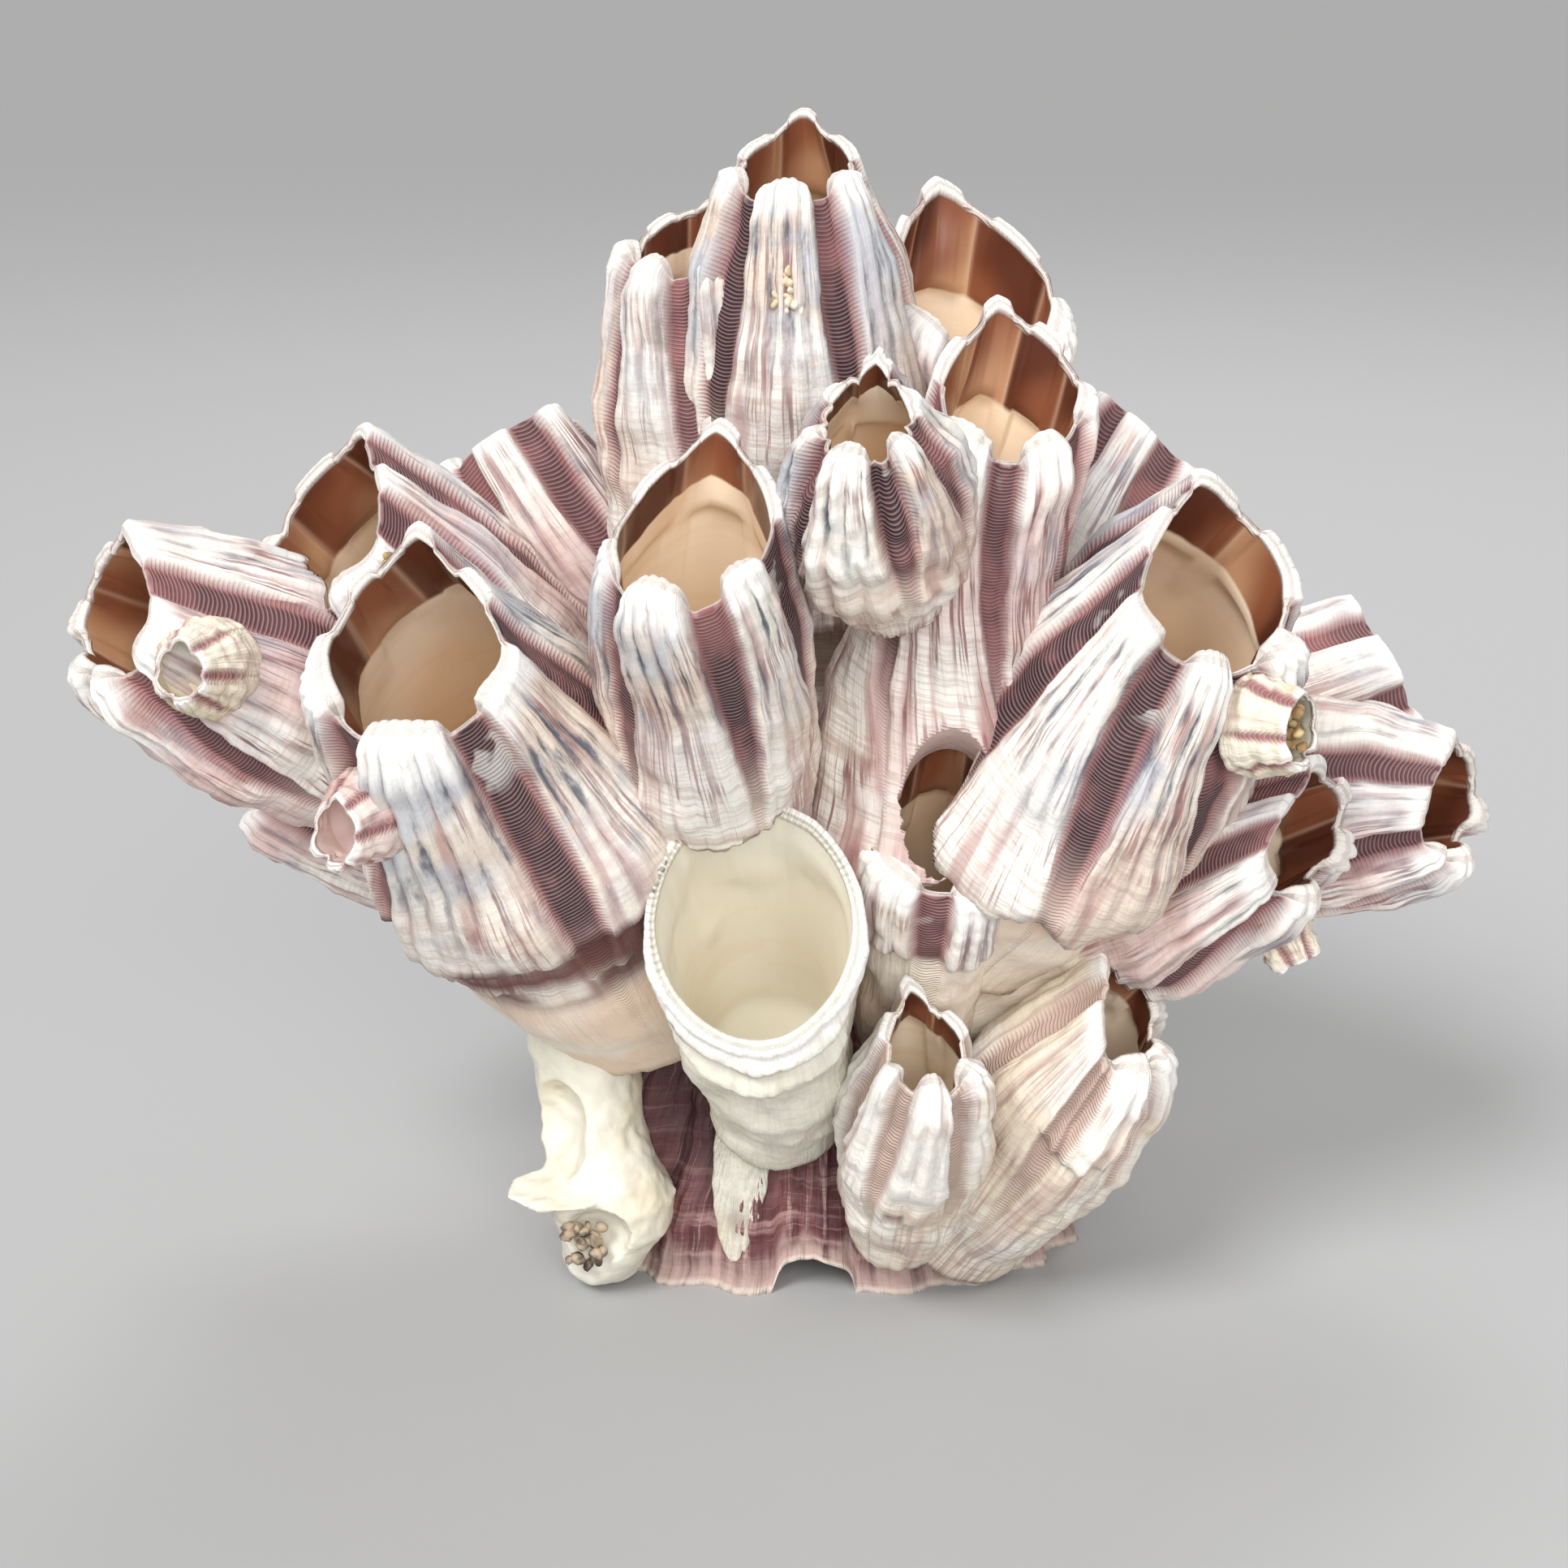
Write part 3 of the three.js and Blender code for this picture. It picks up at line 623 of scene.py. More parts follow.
# keeps only the body that holds the vertex nearest to a point in millimetres
def keepBody(piece, near):
    place = Vector((np.array(near, float) + centreShift) * mm)
    pick(piece)
    bpy.ops.object.mode_set(mode="EDIT")
    bpy.ops.mesh.select_mode(type="VERT")
    bpy.ops.mesh.select_all(action="DESELECT")
    bpy.ops.object.mode_set(mode="OBJECT")
    seed = min(piece.data.vertices, key=lambda v: (v.co - place).length_squared)
    seed.select = True
    bpy.ops.object.mode_set(mode="EDIT")
    bpy.ops.mesh.select_linked()
    bpy.ops.mesh.select_all(action="INVERT")
    bpy.ops.mesh.delete(type="VERT")
    bpy.ops.object.mode_set(mode="OBJECT")


def finish(piece, node):
    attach(piece, "root")
    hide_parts(node)


far = (144, 34)  # coarser grid for shells seen only from outside or from behind

# two ledges below the open base's rim, with a dark stain between them
def baseLedges(rng, u, a, t):
    low = smooth(0.15, 0.85, -np.cos(a))
    wave = softNoise(rng, u, u * 0, 16, 1)
    upper = (1.0 + 0.4 * wave) * np.exp(-((t - 0.955 - 0.012 * wave) / 0.03) ** 2)
    lower = (1.9 + 0.5 * wave) * np.exp(-((t - 0.83 - 0.03 * wave) / 0.05) ** 2)
    rimEdge = 0.7 * smooth(0.93, 0.99, t) * (1 - low)
    here = smooth(0.9, 1.0, -np.cos(a - 0.05)) * smooth(-0.5, 0.3, wave)
    stain = 0.9 * np.exp(-((t - 0.935) / 0.02) ** 2) * here
    stain = stain + 0.8 * np.exp(-((t - 0.955) / 0.014) ** 2) * np.exp(-((a - 2.3) / 0.3) ** 2)
    return low * (upper + lower) + rimEdge, stain, u * 0


# ragged ledge round the lower half of the large left shell, stained brown below it
def growthStep(rng, u, a, t):
    wave = softNoise(rng, u, u * 0, 24, 1)
    line = 0.47 + 0.05 * np.cos(a - math.radians(215)) + 0.018 * wave
    below = line - t
    over = smooth(0.008, -0.004, below) * (1 - smooth(0.0, 0.25, -below))
    layers = smooth(-0.45, 0.25, softNoise(rng, u, t, 16, 26) + 0.3)
    stain = 0.95 * smooth(-0.035, -0.01, below) * smooth(0.19, 0.12, below) * layers
    second = 0.9 * smooth(-0.004, 0.004, below - 0.10 - 0.02 * softNoise(rng, u, u * 0, 15, 1))
    return 1.9 * over - second * smooth(0.30, 0.12, below), stain, smooth(0.13, 0.19, below)


# flap of the large right shell's wall that hangs over its smooth stalk
def hangingFlap(rng, u, a, t):
    wave = softNoise(rng, u, u * 0, 20, 1)
    line = 0.34 + 0.05 * wave
    over = smooth(-0.008, 0.004, t - line) * (1 - smooth(0.0, 0.3, t - line))
    patches = smooth(-0.3, 0.4, softNoise(rng, u, t, 20, 6))
    stain = 0.5 * smooth(0.04, 0.0, np.abs(t - line - 0.015)) * patches
    return 2.6 * over, stain, smooth(0.005, -0.03, t - line)


# cream fan of ribs that hangs below the mouth of the front right shell
def ribFan(rng, u, a, t):
    off = (a - math.radians(118)) / 0.42
    low = 0.70 + 0.05 * off ** 2
    patch = smooth(1.0, 0.85, np.abs(off)) * smooth(-0.012, 0.008, t - low)
    return patch * (1.5 + 0.35 * np.cos(off * 16)), u * 0, u * 0


# small square pit low on the front of the small front shell, its floor painted dark through the stain value
# as painted shade
def pit(rng, u, a, t):
    here = (np.abs(a - math.radians(151)) < 0.13) & (np.abs(t - 0.42) < 0.026)
    return np.where(here, -1.3, 0.0), np.where(here, 0.55, 0.0), u * 0


# what a shell has unless it says otherwise, in millimetres or as a share of the usual size
usual = dict(
    start=0.0, turn=0, strip=13, step=1.0, ribs=0.95, ribSpan=3.0, hump=1.0, bands=34, flutes=0, lumps=0.6,
    rough=1.0, tips=1.0, kite=1.0, wall=1.0, leastWall=0.8, facets=1.0, liningDepth=1.0, uneven=1.0,
    chips=1.0, comb=0, stalk=-1, bowl=1.5, plain=0, extra=None, fine=(216, 54))

topCentre = dict(
    usual, name="top_centre_shell", mouth=(-3.3, -8, 121.4), faces=(-0.05, -0.22, 0.98), foot=(-1, 0, 76),
    girth=(11, 13, 12.8, 7.8), slim=0.88, peak=3.8, turn=4, teeth=1.2, cup=0.6, look="grey", seed=11,
    seams=(30, 88, 143, 214, 272, 330))
topRight = dict(
    usual, name="top_right_shell", mouth=(15.7, 0, 109.2), faces=(0.19, -0.6, 0.78), foot=(11, 4, 74),
    girth=(8, 10, 11.2, 13.2), slim=0.7, peak=1, turn=2, teeth=1.6, cup=0.5, look="rosy", seed=12,
    seams=(30, 80, 150, 210, 270, 325))
topLeft = dict(
    usual, name="top_left_shell", liningDepth=0.5, mouth=(-14.3, -4, 113.8), faces=(-0.14, -0.33, 0.93),
    foot=(-14, 0, 74), girth=(8, 9.6, 9.2, 7), slim=0.92, peak=1.6, turn=-5, teeth=1, cup=0.6, look="pale",
    seed=13, seams=(35, 90, 140, 202, 262, 325))
bulb = dict(
    usual, name="bulb_shell", liningDepth=0.3, mouth=(3.2, -42, 102.1), faces=(-0.12, -0.54, 0.83),
    foot=(6, -28, 82.5), girth=(5.5, 9.2, 9.5, 6), slim=0.8, peak=1.8, teeth=0.9, cup=0.4, flutes=17,
    look="grey", seed=14, seams=(35, 85, 128, 207, 262, 322))
tall = dict(
    usual, name="tall_shell", mouth=(17.8, -24, 102), faces=(0, -0.67, 0.74), foot=(8.5, -19, 53),
    girth=(12.6, 11.4, 8.8, 9.2), slim=0.84, peak=1.4, turn=5, teeth=1.6, cup=0.55, look="rosy", seed=15,
    seams=(30, 95, 168, 232, 285, 335))
centreLeft = dict(
    usual, name="centre_left_shell", liningDepth=0.55, mouth=(-12.8, -40, 91.3), faces=(-0.15, -0.38, 0.91),
    foot=(-11, -20, 53), girth=(9.5, 11.6, 12.4, 12), slim=0.68, peak=3.4, turn=8, teeth=1.6, cup=0.45,
    look="grey", seed=16, seams=(28, 82, 135, 206, 262, 325))
leftLarge = dict(
    usual, name="left_large_shell", mouth=(-39.5, -40, 79.4), faces=(-0.13, -0.72, 0.68),
    foot=(-20, -8, 34), girth=(13, 16.8, 15.2, 10.2), slim=0.96, peak=4.6, turn=2, teeth=1.6, cup=0.5,
    look="grey", seed=17, extra=growthStep, seams=(25, 68, 142, 222, 288, 335))
leftUpper = dict(
    usual, name="left_upper_shell", mouth=(-51, -16, 86), faces=(-0.57, -0.52, 0.64), foot=(-24, -2, 52),
    girth=(9, 12.8, 13, 10), slim=0.96, peak=3, turn=-3, teeth=1.4, cup=0.55, look="rosy", seed=18,
    seams=(28, 90, 150, 215, 292, 338))
leftFar = dict(
    usual, name="left_far_shell", mouth=(-71.2, -24, 79.5), faces=(-0.69, -0.6, 0.42), foot=(-40, -8, 58),
    girth=(9.5, 12, 11.8, 7.8), slim=1.02, peak=2.2, turn=2, teeth=1, cup=0.55, look="rosy", seed=19,
    seams=(20, 75, 130, 178, 222, 304))
rightLarge = dict(
    usual, name="right_large_shell", liningDepth=0.75, mouth=(37.4, -32, 83.9), faces=(0.23, -0.76, 0.6),
    foot=(15, -13, 42), girth=(10, 14.2, 14.6, 9.4), slim=0.94, peak=4.6, turn=6, teeth=1.6, cup=0.5,
    look="grey", seed=20, extra=hangingFlap, seams=(20, 72, 130, 184, 240, 310))
rightLow = dict(
    usual, name="right_low_shell", mouth=(48.9, -26, 56.8), faces=(0.69, -0.72, 0.03), foot=(15, -8, 32),
    girth=(7, 7.8, 9.4, 7.4), slim=1.06, peak=1.8, turn=9, teeth=1.2, cup=0.62, look="rosy", seed=21,
    stalk=0.5, seams=(20, 68, 140, 200, 262, 318))
rightFar = dict(
    usual, name="right_far_shell", mouth=(67.2, -12, 55.3), faces=(0.75, -0.63, 0.18), foot=(34, 0, 52),
    girth=(8.5, 11, 11, 6.9), slim=1.04, peak=1.8, turn=5, teeth=1, cup=0.62, look="rosy", seed=22,
    seams=(45, 105, 150, 210, 270, 340), ribs=1.0)
openBase = dict(
    usual, name="open_base_shell", mouth=(-7.4, -38, 51.0), faces=(0.02, -0.95, 0.3), foot=(-4.9, -14, 20),
    girth=(7.4, 9.4, 10.2, 12.6), slim=0.82, peak=0, turn=4, teeth=0, cup=0.3, step=0, hump=0, ribs=0.1,
    look="worn", seed=23, wall=1.15, leastWall=1.3, facets=0, chips=2.5, uneven=0, kite=0, comb=96, tips=0,
    plain=1, lumps=1.1, extra=baseLedges, fine=(480, 60))
hidden = dict(
    usual, name="hidden_shell", mouth=(12, -28, 59), faces=(0, -0.85, 0.52), foot=(9.5, -10, 26),
    girth=(6.5, 7.6, 8.6, 8.8), slim=0.95, peak=1, teeth=0.4, cup=0.4, look="pale", seed=24, tips=0.4,
    uneven=0.4, stalk=0.72, seams=(30, 85, 172, 232, 285, 335))
frontRight = dict(
    usual, name="front_right_shell", mouth=(31.4, -26, 36.3), faces=(0.69, -0.52, 0.5), foot=(15, -12, 5),
    girth=(8, 9.8, 9.6, 6.4), slim=1, peak=2, turn=10, teeth=1, cup=0.5, look="cream", seed=25,
    extra=ribFan, seams=(40, 108, 170, 225, 285, 340))
frontSmall = dict(
    usual, name="front_small_shell", mouth=(10, -36, 36.9), faces=(0.14, -0.53, 0.84), foot=(8, -20, 8),
    girth=(5, 7.6, 7.9, 5.9), slim=0.82, peak=2.4, turn=5, teeth=1.4, cup=0.35, look="cream", seed=26,
    extra=pit, seams=(30, 85, 132, 200, 262, 320))
leftMidBack = dict(
    usual, name="left_mid_back_shell", mouth=(-34, 8, 89.5), faces=(-0.3, 0.4, 0.86), foot=(-17, 5, 54),
    girth=(7.5, 9.4, 10, 8.5), slim=0.9, peak=1.6, teeth=1.2, cup=0.6, look="rosy", seed=27,
    seams=(30, 90, 150, 210, 270, 330), fine=far)
leftLowBack = dict(
    usual, name="left_low_back_shell", mouth=(-61, 8, 52), faces=(-0.85, 0.3, 0.35), foot=(-26, 2, 40),
    girth=(8, 10, 10, 8), slim=0.9, peak=1.6, teeth=1.2, cup=0.62, look="rosy", seed=28, fine=far)
rightFarUpper = dict(
    usual, name="right_far_upper_shell", mouth=(61.5, 6, 64.5), faces=(0.8, 0.4, 0.45), foot=(35, 6, 55),
    girth=(7, 8.8, 9.4, 8.5), slim=0.9, peak=1.4, teeth=1.2, cup=0.62, look="pale", seed=29,
    seams=(30, 95, 155, 215, 270, 330), ribs=1.0, fine=far)
rightBack = dict(
    usual, name="right_back_shell", mouth=(35.5, 10, 89), faces=(0.55, 0.35, 0.75), foot=(17, 4, 56),
    girth=(8, 9.8, 10, 8.5), slim=0.88, peak=2, teeth=1.2, cup=0.6, look="rosy", seed=30,
    seams=(20, 75, 130, 190, 250, 310), fine=far)
backLow = dict(
    usual, name="back_low_shell", mouth=(2, 29, 30), faces=(0.1, 0.85, 0.5), foot=(1, 12, 14),
    girth=(7, 8.6, 8.8, 7.2), slim=0.85, peak=1.5, teeth=1.2, cup=0.5, look="pale", seed=31, fine=far)
backMiddle = dict(
    usual, name="back_middle_shell", mouth=(4, 27, 92), faces=(0.05, 0.6, 0.8), foot=(1, 6, 48),
    girth=(10, 12.4, 12.4, 10), slim=0.82, peak=2, teeth=1.4, cup=0.6, look="grey", seed=32, fine=far)
backLeft = dict(
    usual, name="back_left_shell", mouth=(-28, 29, 62), faces=(-0.45, 0.8, 0.4), foot=(-8, 6, 38),
    girth=(9, 11, 11.2, 9), slim=0.85, peak=2, teeth=1.4, cup=0.6, look="rosy", seed=33, fine=far)
backRight = dict(
    usual, name="back_right_shell", mouth=(30, 27, 58), faces=(0.5, 0.8, 0.35), foot=(9, 6, 36),
    girth=(9, 11, 11.2, 9), slim=0.85, peak=2, teeth=1.4, cup=0.6, look="pale", seed=34, fine=far)
spat = dict(
    usual, leastWall=0.5, step=0.2, hump=0.2, ribs=0.2, lumps=0.15, ribSpan=1.6, rough=0.25, wall=0.5,
    chips=0.25, uneven=0.15, tips=0.3, kite=0.3, strip=9, fine=(96, 22), cup=0.6, look="young")
spatLeftFar = dict(
    spat, name="spat_left_far", mouth=(-62.9, -35.4, 76.6), faces=(-0.21, -0.96, 0.17),
    foot=(-60.8, -27.5, 75), girth=(4.8, 5, 4.2, 2.9), slim=0.93, peak=0.2, teeth=0.4, seed=35)
spatLeftLarge = dict(
    spat, name="spat_left_large", mouth=(-46.4, -48, 64.4), faces=(-0.56, -0.8, 0.2),
    foot=(-42.5, -39, 64.5), girth=(4.2, 4.6, 4, 3.2), slim=0.9, peak=0.3, teeth=0.4, seed=36,
    look="youngRosy", start=0.15)
spatRightLarge = dict(
    spat, name="spat_right_large", mouth=(45.3, -38, 71.5), faces=(0.78, -0.62, 0.1), foot=(39, -31, 71),
    girth=(6, 5.6, 4.8, 3.6), slim=0.9, peak=0.5, teeth=0.4, seed=37, start=0.4)
spatRightLow = dict(
    spat, name="spat_right_low", mouth=(49.5, -24, 42), faces=(0.5, -0.3, -0.8), foot=(46, -22, 49),
    girth=(3.6, 3.6, 3, 2.4), slim=0.85, peak=0.3, teeth=0.3, seed=38)

# foundation: two lobes side by side, ribbed outside, open underneath and cut off flat
foundation = dict(
    width=61, depth=43, height=36, topShare=0.72, wall=5, roofWall=8, roof=15, roofShare=0.3, dome=2,
    ribs=20, ribRelief=0.035, fineRibs=46, waist=0.07, fine=480,
    notch=dict(x=-1, width=9, height=4.6, reach=12),
    recess=dict(x=-14.5, z=20, width=5.5, height=10, depth=2.6))


def foundationRound(share, a, inset):
    f = foundation
    size = mix(1, f["topShare"], share ** 0.8)
    lobes = 1 - f["waist"] * np.sin(a) ** 4
    rib = 1 + f["ribRelief"] * np.cos(f["ribs"] * a)
    x = (f["width"] / 2 * size * lobes * rib - inset) * np.cos(a)
    y = (f["depth"] / 2 * size * lobes * rib - inset) * np.sin(a)
    return x, y


def foundationPiece():
    f = foundation
    rng = np.random.default_rng(51)
    columns, capRows, sideRows, cutRows, innerRows = f["fine"], 8, 60, 3, 10
    rows = capRows + sideRows + cutRows + innerRows + capRows
    piece, u, v = gridPiece("foundation_look", columns, rows)
    row = np.rint(v * rows).astype(int)
    down = np.linspace(1, 0, sideRows + 1)
    inward = np.linspace(0, f["roofShare"], innerRows + 1)[1:]
    rowShare = np.concatenate([np.ones(capRows), down, np.zeros(cutRows), inward,
                               np.full(capRows, f["roofShare"])])[row]
    rowZ = np.concatenate([np.full(capRows, f["height"]), down * f["height"], np.zeros(cutRows),
                           np.linspace(0, f["roof"], innerRows + 1)[1:], np.full(capRows, f["roof"])])[row]
    inset = np.concatenate([np.zeros(capRows + sideRows + 1), np.linspace(0, f["wall"], cutRows + 1)[1:],
                            np.linspace(f["wall"], f["roofWall"], innerRows + 1)[1:],
                            np.full(capRows, f["roofWall"])])[row]
    shrink = np.linspace(0, 1, capRows + 1)[:-1]
    size = np.concatenate([shrink, np.ones(sideRows + 1 + cutRows + innerRows), shrink[::-1]])[row]
    a = u * 2 * math.pi
    outer = ((row >= capRows) & (row <= capRows + sideRows)).astype(float)
    x, y = foundationRound(rowShare, a, inset)
    z = rowZ + np.where(row > rows - capRows, f["dome"] * (1 - size ** 2), 0)
    # fine ribs with rounded tops, growth steps and the hollow beside the open shell, which the material
    # paints dark as shade
    ribs = np.abs(np.cos(f["fineRibs"] * a + 1.2 * softNoise(rng, u, rowShare, 40, 5))) ** 0.7 - 0.5
    ribs = ribs * (0.55 + 0.35 * softNoise(rng, u, rowShare, 30, 8))
    growth = 0.16 * np.sin(rowShare * 75 + 3 * softNoise(rng, u, rowShare, 10, 6))
    lumps = 0.5 * softNoise(rng, u, rowShare, 12, 4) + 0.3 * softNoise(rng, u, rowShare, 40, 12)
    hole = f["recess"]
    sideways, upwards = (x - hole["x"]) / hole["width"], (z - hole["z"]) / hole["height"]
    recess = hole["depth"] * np.exp(-sideways ** 4 - upwards ** 4)
    out = outer * (ribs + growth + lumps - recess * (np.sin(a) < 0)) * smooth(0.0, 0.05, rowShare + 0.02)
    x = (x + out * np.cos(a)) * size
    y = (y + out * np.sin(a)) * size
    notch = f["notch"]
    arch = notch["height"] * np.sqrt(np.clip(1 - ((x - notch["x"]) / notch["width"] * 2) ** 2, 0, 1))
    arch = arch + 0.5 * softNoise(rng, u, u * 0, 90, 1) * (arch > 0)
    lifted = (np.sin(a) < 0) & (row >= capRows) & (inset <= f["wall"])
    z = np.where(lifted, z + arch * np.clip(1 - z / notch["reach"], 0, 1), z)
    writePoints(piece, np.stack([x, y, z], 1))
    writeMap(piece, a * f["width"] / 2, rowZ)
    writeValues(piece, height=rowZ, rib=np.clip(ribs + 0.5, 0, 1), recess=recess / hole["depth"])
    closeUp(piece)
    return piece


# purple brown wall with pale upright streaks and a worn pale lower edge
foundationPaint = dict(dark=(0.085, 0.022, 0.027), light=(0.26, 0.095, 0.095), streak=(0.66, 0.48, 0.43),
                       band=(0.50, 0.31, 0.29), line=(0.09, 0.03, 0.03), worn=(0.66, 0.50, 0.45),
                       edge=(0.72, 0.62, 0.54), hollow=(0.045, 0.018, 0.022), groove=(0.09, 0.03, 0.035))


def foundationMaterial():
    paint = foundationPaint
    material, tree, shader, place = newMaterial("foundation_wall", 0.62)
    uv = put(tree, "ShaderNodeUVMap", {"uv_map": "shellMap"}).outputs[0]
    height, rib, recess = (stored(tree, k) for k in ("height", "rib", "recess"))
    tint = noiseAt(tree, uv, (0.35, 0.03, 1), 1.0, 3, 0.6, (4, 0, 0))
    base = blend(tree, steps(tree, tint, 0.35, 0.65), paint["dark"], paint["light"])
    streak = noiseAt(tree, uv, (1.1, 0.05, 1), 1.0, 4, 0.65, (0, 2, 0))
    base = blend(tree, steps(tree, streak, 0.52, 0.68, 0, 0.85), base, paint["streak"])
    band = noiseAt(tree, uv, (0.05, 0.7, 1), 1.0, 4, 0.6, (0, 7, 0))
    base = blend(tree, steps(tree, band, 0.50, 0.66, 0, 0.55), base, paint["band"])
    lines = lineNoise(tree, uv, (0.12, 1.3, 1), 0.05, 3, (3, 0, 3))
    base = blend(tree, times(tree, lines, 0.5), base, paint["line"])
    worn = plus(tree, steps(tree, height, 9, 0), times(tree, calc(tree, "SUBTRACT", tint, 0.5), 2.2))
    base = blend(tree, steps(tree, worn, 0.35, 1.0, 0, 0.6), base, paint["worn"])
    base = blend(tree, steps(tree, height, 1.0, 0.2), base, paint["edge"])
    # painted shade: the hollow beside the open shell is darkened almost to black
    base = blend(tree, times(tree, recess, 0.75), base, paint["hollow"])
    # painted shade: the rib grooves are darkened
    base = blend(tree, times(tree, flip(tree, rib), 0.35), base, paint["groove"])
    tree.links.new(base, shader.inputs["Base Color"])
    grain = noiseAt(tree, place, (1, 1, 1), 600, 4, 0.65)
    addBump(tree, shader, plus(tree, times(tree, streak, 1.2), times(tree, grain, 0.5)), 0.7, 0.0006)
    return material


def foundationCork():
    cork, u, v = gridPiece("foundation_cork", 72, 6)
    row = np.rint(v * 6).astype(int)
    share = np.array([1, 1, 0.66, 0.33, 0, -0.02, -0.02])[row]
    size = np.array([0, 1, 1, 1, 1, 1, 0])[row]
    x, y = foundationRound(np.clip(share, 0, 1), u * 2 * math.pi, 1.5)
    writePoints(cork, np.stack([x * size, y * size, share * (foundation["height"] - 1)], 1))
    closeUp(cork)
    return cork


base = foundationPiece()
dress(base, foundationMaterial())
finish(base, "foundation_shell")
say("foundation")

# hole broken through the lower wall of the tall shell
arch = dict(at=(12.2, -30, 60.6), faces=(0, -0.85, 0.52), halfWidth=4.9, halfHeight=6.8, depth=17,
            ragged=0.35, corners=72)


def archTool():
    rng = np.random.default_rng(61)
    bpy.ops.object.select_all(action="DESELECT")
    bpy.ops.mesh.primitive_cylinder_add(vertices=arch["corners"], radius=1, depth=1, location=(0, 0, 0))
    tool = bpy.context.object
    tool.name = "arch_tool"
    faces = Vector(arch["faces"]).normalized()
    side = Vector((0, 0, 1)).cross(faces).normalized()
    up = faces.cross(side)
    edge = 1 + arch["ragged"] / arch["halfWidth"] * rng.uniform(-1, 1, arch["corners"])
    middle = Vector(np.array(arch["at"]) + centreShift)
    for k, corner in enumerate(tool.data.vertices):
        x, y, z = corner.co
        keep = edge[(k // 2) % arch["corners"]] if y < 0.2 else 1  # ragged below, clean at the top
        corner.co = (middle + side * (x * arch["halfWidth"] * keep) + up * (y * arch["halfHeight"] * keep)
                     + faces * (z * arch["depth"])) * mm
    return tool


# each shell in the order in which it grew, ending inside the walls of those before it
growOrder = (
    frontRight, frontSmall, openBase, hidden, backLow, leftLarge, centreLeft, tall, rightLarge, rightLow,
    bulb, leftUpper, leftFar, topCentre, topRight, topLeft, leftMidBack, leftLowBack, rightFar,
    rightFarUpper, rightBack, backMiddle, backLeft, backRight, spatLeftFar, spatLeftLarge,
    spatRightLarge, spatRightLow)
corks = [foundationCork()]
hole = archTool()
for shell in growOrder:
    piece = growShell(shell)
    if shell is tall:
        cutAway(piece, hole)
    cutAll(piece)
    keepBody(piece, shell["mouth"])
    corks.append(corkOf(shell))
    finish(piece, shell["name"])
say("shells")

# tongue of the open base shell: a thin fan that lies on the front of the foundation
tongue = dict(x=-8.6, top=21, tip=3.4, halfWidth=3.6, thickness=1.3, ribs=26, under=1.6, fine=(64, 80),
              spot=dict(x=-9.6, z=8.5, width=1.2, height=1.8))


def tonguePiece():
    rng = np.random.default_rng(71)
    columns, rows = tongue["fine"]
    piece, u, v = gridPiece("open_base_tongue", columns, rows)
    a = u * 2 * math.pi
    z = mix(tongue["top"], tongue["tip"], v)
    swell = np.sqrt(np.clip(1 - (1 - v) ** 6, 0, 1)) * (1 - v ** 2.2) ** 0.6
    swell = swell * (1 + 0.06 * softNoise(rng, u * 0, v, 1, 12))
    half = tongue["halfWidth"] * swell
    x = tongue["x"] - 1.5 * v + half * np.sign(np.cos(a)) * np.abs(np.cos(a)) ** 0.7
    fan = (x - tongue["x"]) / (0.25 + v) / 3
    ribs = np.cos(fan * tongue["ribs"])
    thick = tongue["thickness"] * swell ** 0.5 * (0.75 + 0.25 * ribs) * (np.sin(a) > 0)
    share = z / foundation["height"]
    reach = foundation["depth"] / 2 * mix(1, foundation["topShare"], share ** 0.8)
    reach = reach * (1 - foundation["waist"])
    wall = reach * np.sqrt(np.clip(1 - (x / foundation["width"] * 2) ** 2, 0, 1))
    y = -wall - 0.2 - thick * np.abs(np.sin(a)) ** 0.5
    y = np.where(np.sin(a) > 0, y, y + tongue["under"])
    writePoints(piece, np.stack([x, y, z], 1))
    writeMap(piece, fan * 20, v * 20)
    mark = tongue["spot"]
    spot = 0.5 * np.exp(-((x - mark["x"]) / mark["width"]) ** 2 - ((z - mark["z"]) / mark["height"]) ** 2)
    zero = v * 0
    writeValues(piece, plate=zero + 1, height=zero + 0.4, rib=0.5 + 0.5 * ribs, stain=spot, inner=zero,
                edge=zero, crease=zero, tone=zero, stalk=zero)
    closeUp(piece)
    dress(piece, lookOf("worn"))
    return piece


finish(tonguePiece(), "open_base_shell")

# worn stub: smooth broken shell wall with scoops, a ledge and a fringed cup
# a ring is height, middle x, half width, middle y, half depth
stub = dict(rings=((1.2, -24.9, 3.4, -15, 4), (2.5, -24.9, 4.6, -15, 5.4), (8, -23.6, 6.6, -17, 6.6),
                   (11.5, -23.6, 7.3, -16.8, 7.2), (15, -24.6, 6.2, -15.6, 6.8), (20, -26, 5.6, -14, 6.2),
                   (26, -26.4, 5.8, -12.6, 6.4), (31, -26.6, 7, -11.5, 7)),
            scoops=(((-30.5, -20.5, 20), (4.6, 5.6, 5.8)), ((-25.6, -25.5, 8.4), (4.8, 6, 4.4))),
            ledge=dict(at=(-29.0, -20.9, 13.6), size=(12, 8, 1.3), tilt=0.12),
            fringe=dict(count=9, at=(-31.2, -21.5, 9.6), step=(0.35, -0.35, -0.62), size=(2.2, 0.5, 0.32),
                        turn=(0.2, 0.25, 0.5)),
            voxel=0.32, soften=7, keep=(-26.4, -18.8, 25))


def addTool(add, at, scale, turn=(0, 0, 0), **shape):
    bpy.ops.object.select_all(action="DESELECT")
    add(location=(np.array(at) + centreShift) * mm, **shape)
    tool = bpy.context.object
    tool.scale = np.array(scale) * mm
    tool.rotation_euler = turn
    settle(tool)
    return tool


